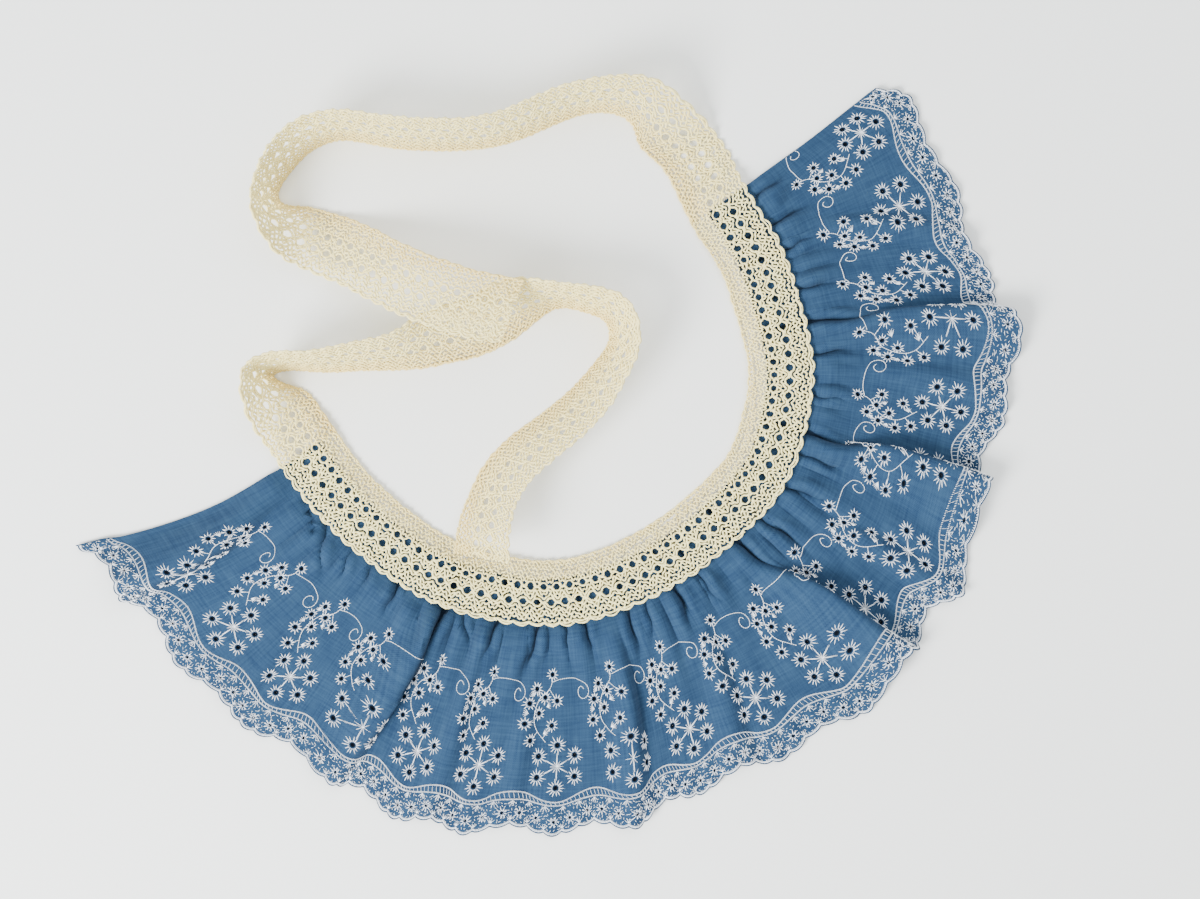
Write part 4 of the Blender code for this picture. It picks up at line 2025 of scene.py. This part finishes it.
class YarnBook:
    """Runs of yarn noted down on the flat lace, then laid on its surface."""

    def __init__(self) -> None:
        """Starts an empty book."""
        self.rows: list[np.ndarray] = []
        self.edges: list[np.ndarray] = []
        self.used = 0

    def note(
        self,
        along: np.ndarray,
        across: np.ndarray,
        height: np.ndarray,
        tone: np.ndarray,
        girth: np.ndarray | float,
    ) -> None:
        """Notes runs of yarn, a row of points for each.

        Args:
            along: positions along the lace in millimetres.
            across: distances from the inner edge in millimetres.
            height: heights over the underside in millimetres.
            tone: how pale the yarn is.
            girth: thickness as a share of the yarn's.
        """
        columns = np.broadcast_arrays(np.atleast_2d(along), across, height, tone, girth)
        runs, length = columns[0].shape
        low = self.used + length * np.arange(runs) + np.arange(length - 1)[:, None]
        self.rows.append(np.stack([np.ravel(column) for column in columns], axis=1).astype(float))
        self.edges.append(np.stack([low, low + 1], axis=2).reshape(-1, 2))
        self.used += runs * length

    def laid(self, name: str, surface: LaceSurface, lowest: float) -> bpy.types.Mesh:
        """Lays the yarns on the lace's surface.

        Args:
            name: the guide mesh's name.
            surface: the lace's surface.
            lowest: the least height of a yarn's middle over the board, in millimetres.

        Returns:
            The guide mesh that the yarn tree reads.
        """
        along, across, height, tone, girth = np.concatenate(self.rows).T
        points = surface.lifted(along, across, height)
        points[:, 2] = np.maximum(points[:, 2], lowest)
        return guide_mesh(name, points, np.concatenate(self.edges), {"tone": tone, "girth": girth})


@dataclass
class LaceStrip:
    """One stretch of the lace, which stands for one solid.

    The drift is how far the long yarns stray: size, run and shift from yarn to yarn.
    """

    name: str
    node: str
    start: float
    end: float
    surface: LaceSurface
    rests_on: list[str]
    # Painted shade: shifts the yarns' tone towards the deeper, yellower colour, for the shade in the ties'
    # folds and under them
    painted_shade_shift: float = 0.0
    girth: float = 0.87
    pattern: LacePattern = field(default_factory=LacePattern)
    seed: int = 3
    drift: Table = ((0.16, 7.3, 2.1), (0.13, 2.9, 5.0), (0.08, 1.3, 3.3))
    lap: float = 0.28
    yarn_tone: float = 0.42
    wrap_tone: float = 0.50
    outer_tone: float = 0.4
    wrap_rise: float = 0.32
    wrap_dip: float = 0.4
    wrap_lean: float = 0.45

    def build(self, tree: bpy.types.NodeTree, finish: bpy.types.Material) -> bpy.types.Object:
        """Makes the stretch from its long yarns and the short wraps that tie them.

        Args:
            tree: the yarn tree.
            finish: the yarn's material.

        Returns:
            The stretch's object.
        """
        book, random = YarnBook(), np.random.default_rng(self.seed)
        self.note_yarns(book, random)
        self.note_wraps(book, random)
        radius = self.pattern.yarn_radius
        guide = book.laid(self.name + "_paths", self.surface, radius)
        return grow(self.name, guide, tree, {"Yarn radius": radius * MILLIMETRE, "Finish": finish})

    def note_yarns(self, book: YarnBook, random: np.random.Generator) -> None:
        """Notes the long yarns.

        Args:
            book: the book that takes them.
            random: gives their unevenness.
        """
        pattern = self.pattern
        count = int(round((self.end - self.start) * pattern.samples / pattern.repeat)) + 1
        knots = np.linspace(self.start, self.end, count)
        for number, row in enumerate(pattern.rows()):
            drift = sum(size * np.sin(knots / run + shift * number) for size, run, shift in self.drift)
            across = pattern.across(row, knots) + drift
            over = self.lap * (-1.0) ** number * np.sin(2.0 * FULL_TURN * knots / pattern.repeat)
            tone = self.tone(self.yarn_tone, row) + random.uniform(-0.06, 0.06)
            # Painted shade: the strip's shift towards the deeper colour
            tone = tone + self.painted_shade_shift + 0.07 * np.sin(knots / 9.0 + 0.9 * number)
            uneven = 1.0 + 0.10 * np.sin(knots / 1.7 + 3.0 * number) * np.sin(knots / 11.0 + number)
            girth = self.girth * uneven * np.clip(self.surface.stretch(knots, across), 0.8, 1.9) ** 0.5
            book.note(knots, across, self.surface.cut.wall / 2.0 - 0.1 + over, tone, girth)

    def note_wraps(self, book: YarnBook, random: np.random.Generator) -> None:
        """Notes the short leaning wraps over each two neighbouring yarns.

        Args:
            book: the book that takes them.
            random: gives their unevenness.
        """
        pattern = self.pattern
        top = self.surface.cut.wall / 2.0 + self.wrap_rise
        rows = pattern.rows()
        for row, above in zip(rows[:-1], rows[1:]):
            ties = self.wrap_places(row, above)
            between_bands = above.place - row.place > pattern.band_gap
            ties = ties[(random.uniform(0.0, 1.0, len(ties)) < pattern.wrap_share) | between_bands]
            lean = np.where(np.arange(len(ties)) % 2 == 0, self.wrap_lean, -self.wrap_lean)
            lean = lean * random.uniform(0.6, 1.4, len(ties))
            ties = ties + random.uniform(-0.16, 0.16, len(ties))
            low, high = pattern.across(row, ties), pattern.across(above, ties)
            middle = (low + high) / 2.0
            half = (high - low) / 2.0 + pattern.wrap_lap
            # Painted shade: the strip's shift towards the deeper colour
            tone = self.tone(self.wrap_tone, row) + self.painted_shade_shift + random.uniform(-0.1, 0.1, len(ties))
            book.note(
                np.stack([ties - lean, ties, ties + lean], axis=1),
                np.stack([middle - half, middle, middle + half], axis=1),
                np.array([top - self.wrap_dip, top, top - self.wrap_dip]),
                tone[:, None],
                self.girth * pattern.wrap_girth,
            )

    def tone(self, base: float, row: YarnRow) -> float:
        """How pale a yarn is, more so towards the outer edge."""
        return base + self.outer_tone * smooth_step(np.array([row.place / 14.0]))[0]

    def wrap_places(self, row: YarnRow, above: YarnRow) -> np.ndarray:
        """Where two neighbouring yarns touch.

        Args:
            row: the yarn nearer to the inner edge.
            above: the yarn next to it.

        Returns:
            Positions along the lace in millimetres.
        """
        pitch = self.pattern.repeat
        if above.place - row.place > self.pattern.band_gap:
            middle = 0.5 if row.sway < 0.0 else 0.0
            starts = np.array([middle - 0.15, middle, middle + 0.15]) * pitch
        else:
            holes = self.pattern.small_holes
            shift = 0.0 if row.ripple > 0.0 or above.ripple < 0.0 else 0.5
            starts = (np.arange(holes) + shift) * pitch / holes
        first, last = int(self.start / pitch) - 1, int(self.end / pitch) + 2
        places = (np.arange(first, last)[:, None] * pitch + starts).ravel()
        return np.sort(places[(places > self.start + 0.5) & (places < self.end - 0.5)])

# The studio


@dataclass(frozen=True)
class Studio:
    """The pale board, the soft light from the lower left, and the camera straight above."""

    board_size: float = 4.0
    camera_place: Place = (0.0226, 0.0051, 0.62)
    view_width: float = 0.516
    sensor_width: float = 36.0
    board_colour: Colour = (0.80, 0.815, 0.80, 1.0)
    board_roughness: float = 0.8
    window_place: Place = (-0.95, -0.75, 0.95)
    window_size: float = 0.7
    window_power: float = 74.0
    fill_place: Place = (0.6, 0.9, 1.3)
    fill_size: float = 1.4
    fill_power: float = 17.0
    room_colour: Colour = (0.95, 0.98, 1.0, 1.0)
    room_strength: float = 1.5

    def board(self) -> bpy.types.Object:
        """Makes the board that the cape lies on.

        Returns:
            The board's object.
        """
        half = self.board_size / 2.0
        corners = [(-half, -half, 0), (half, -half, 0), (half, half, 0), (-half, half, 0)]
        mesh = bpy.data.meshes.new("board")
        mesh.from_pydata(corners, [], [(0, 1, 2, 3)])
        material, build = new_material("Pale board")
        build.surface(Base_Color=self.board_colour, Roughness=self.board_roughness)
        mesh.materials.append(material)
        return linked("board", mesh)

    def light(self, name: str, place: Place, size: float, power: float) -> None:
        """Makes one square soft light that faces the cape.

        Args:
            name: the light's name.
            place: where it stands, in metres.
            size: its side in metres.
            power: its power in watts.
        """
        lamp = bpy.data.lights.new(name, "AREA")
        lamp.size = size
        lamp.energy = power
        light = linked(name, lamp)
        light.location = place
        light.rotation_euler = (-Vector(place)).to_track_quat("-Z", "Y").to_euler()

    def build(self) -> bpy.types.Object:
        """Makes the board, the lights, the surroundings and the camera.

        Returns:
            The board's object.
        """
        self.light("window", self.window_place, self.window_size, self.window_power)
        self.light("fill", self.fill_place, self.fill_size, self.fill_power)
        world = bpy.data.worlds.new("Soft room")
        world.use_nodes = True
        room = world.node_tree.nodes["Background"]
        room.inputs["Color"].default_value = self.room_colour
        room.inputs["Strength"].default_value = self.room_strength
        bpy.context.scene.world = world
        view = bpy.data.cameras.new("camera")
        view.sensor_width = self.sensor_width
        view.lens = self.sensor_width * self.camera_place[2] / self.view_width
        camera = linked("camera", view)
        camera.location = self.camera_place
        bpy.context.scene.camera = camera
        return self.board()


# The whole cape


def triangles_of(piece: bpy.types.Object) -> int:
    """How many triangles a piece has."""
    piece.data.calc_loop_triangles()
    return len(piece.data.loop_triangles)


def dress_ruffle(
    ruffle: Ruffle, stitches: bpy.types.NodeTree, chambray: bpy.types.Material, thread: bpy.types.Material
) -> None:
    """Args:
        ruffle: the ruffle.
        stitches: the stitch tree.
        chambray: the cloth's material.
        thread: the embroidery's material.
    """
    cloth = ruffle.cloth(chambray)
    embroidery = ruffle.embroidery(stitches, thread)
    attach(cloth, "root")
    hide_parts("ruffle")
    for piece in embroidery:
        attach(piece, "root")
    for piece in (cloth, *embroidery):
        LOG.info("%s: %d triangles", piece.name, triangles_of(piece))


def dress_lace(ruffle: Ruffle, yarns: bpy.types.NodeTree, yarn: bpy.types.Material) -> None:
    """Args:
        ruffle: the ruffle that the neckband is sewn on.
        yarns: the yarn tree.
        yarn: the lace's material.
    """
    cut = LaceCut()
    surface = LaceSurface(cut, ruffle.surface)
    gap = 0.05
    strips = (
        LaceStrip(
            name="neckband_lace",
            node="neckband",
            start=surface.band_start + gap,
            end=surface.band_end - gap,
            surface=surface,
            rests_on=["ruffle_cloth"],
        ),
        LaceStrip(
            name="tie_right_lace",
            node="tie_right",
            start=surface.band_end + gap,
            end=surface.end,
            surface=surface,
            rests_on=["board", "tie_left_lace"],
            # Painted shade: the same lace as the neckband, drawn deeper and yellower for the shade in its
            # folds
            painted_shade_shift=-0.22,
            girth=1.0,
        ),
        LaceStrip(
            name="tie_left_lace",
            node="tie_left",
            start=surface.start,
            end=surface.band_start - gap,
            surface=surface,
            rests_on=["board", "neckband_lace"],
            # Painted shade: the same lace as the neckband, drawn deeper and yellower for the shade in its
            # folds
            painted_shade_shift=-0.26,
            girth=1.0,
        ),
    )
    for strip in strips:
        lace = strip.build(yarns, yarn)
        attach(lace, "root")
        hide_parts(strip.node)
        LOG.info("%s: %d triangles", lace.name, triangles_of(lace))


def main() -> None:
    """Builds the studio, the ruffle and the lace."""
    logging.basicConfig(level=logging.INFO, format="%(message)s")
    Studio().build()
    twist = TwistedYarn().build()
    chambray = ChambrayFinish().build(PlainWeave().build())
    thread = WHITE_THREAD.build(twist)
    yarn = LACE_YARN.build(twist)
    ruffle = Ruffle()
    dress_ruffle(ruffle, StitchTree().build(), chambray, thread)
    dress_lace(ruffle, YarnTree().build(), yarn)


if __name__ == "__main__":
    main()
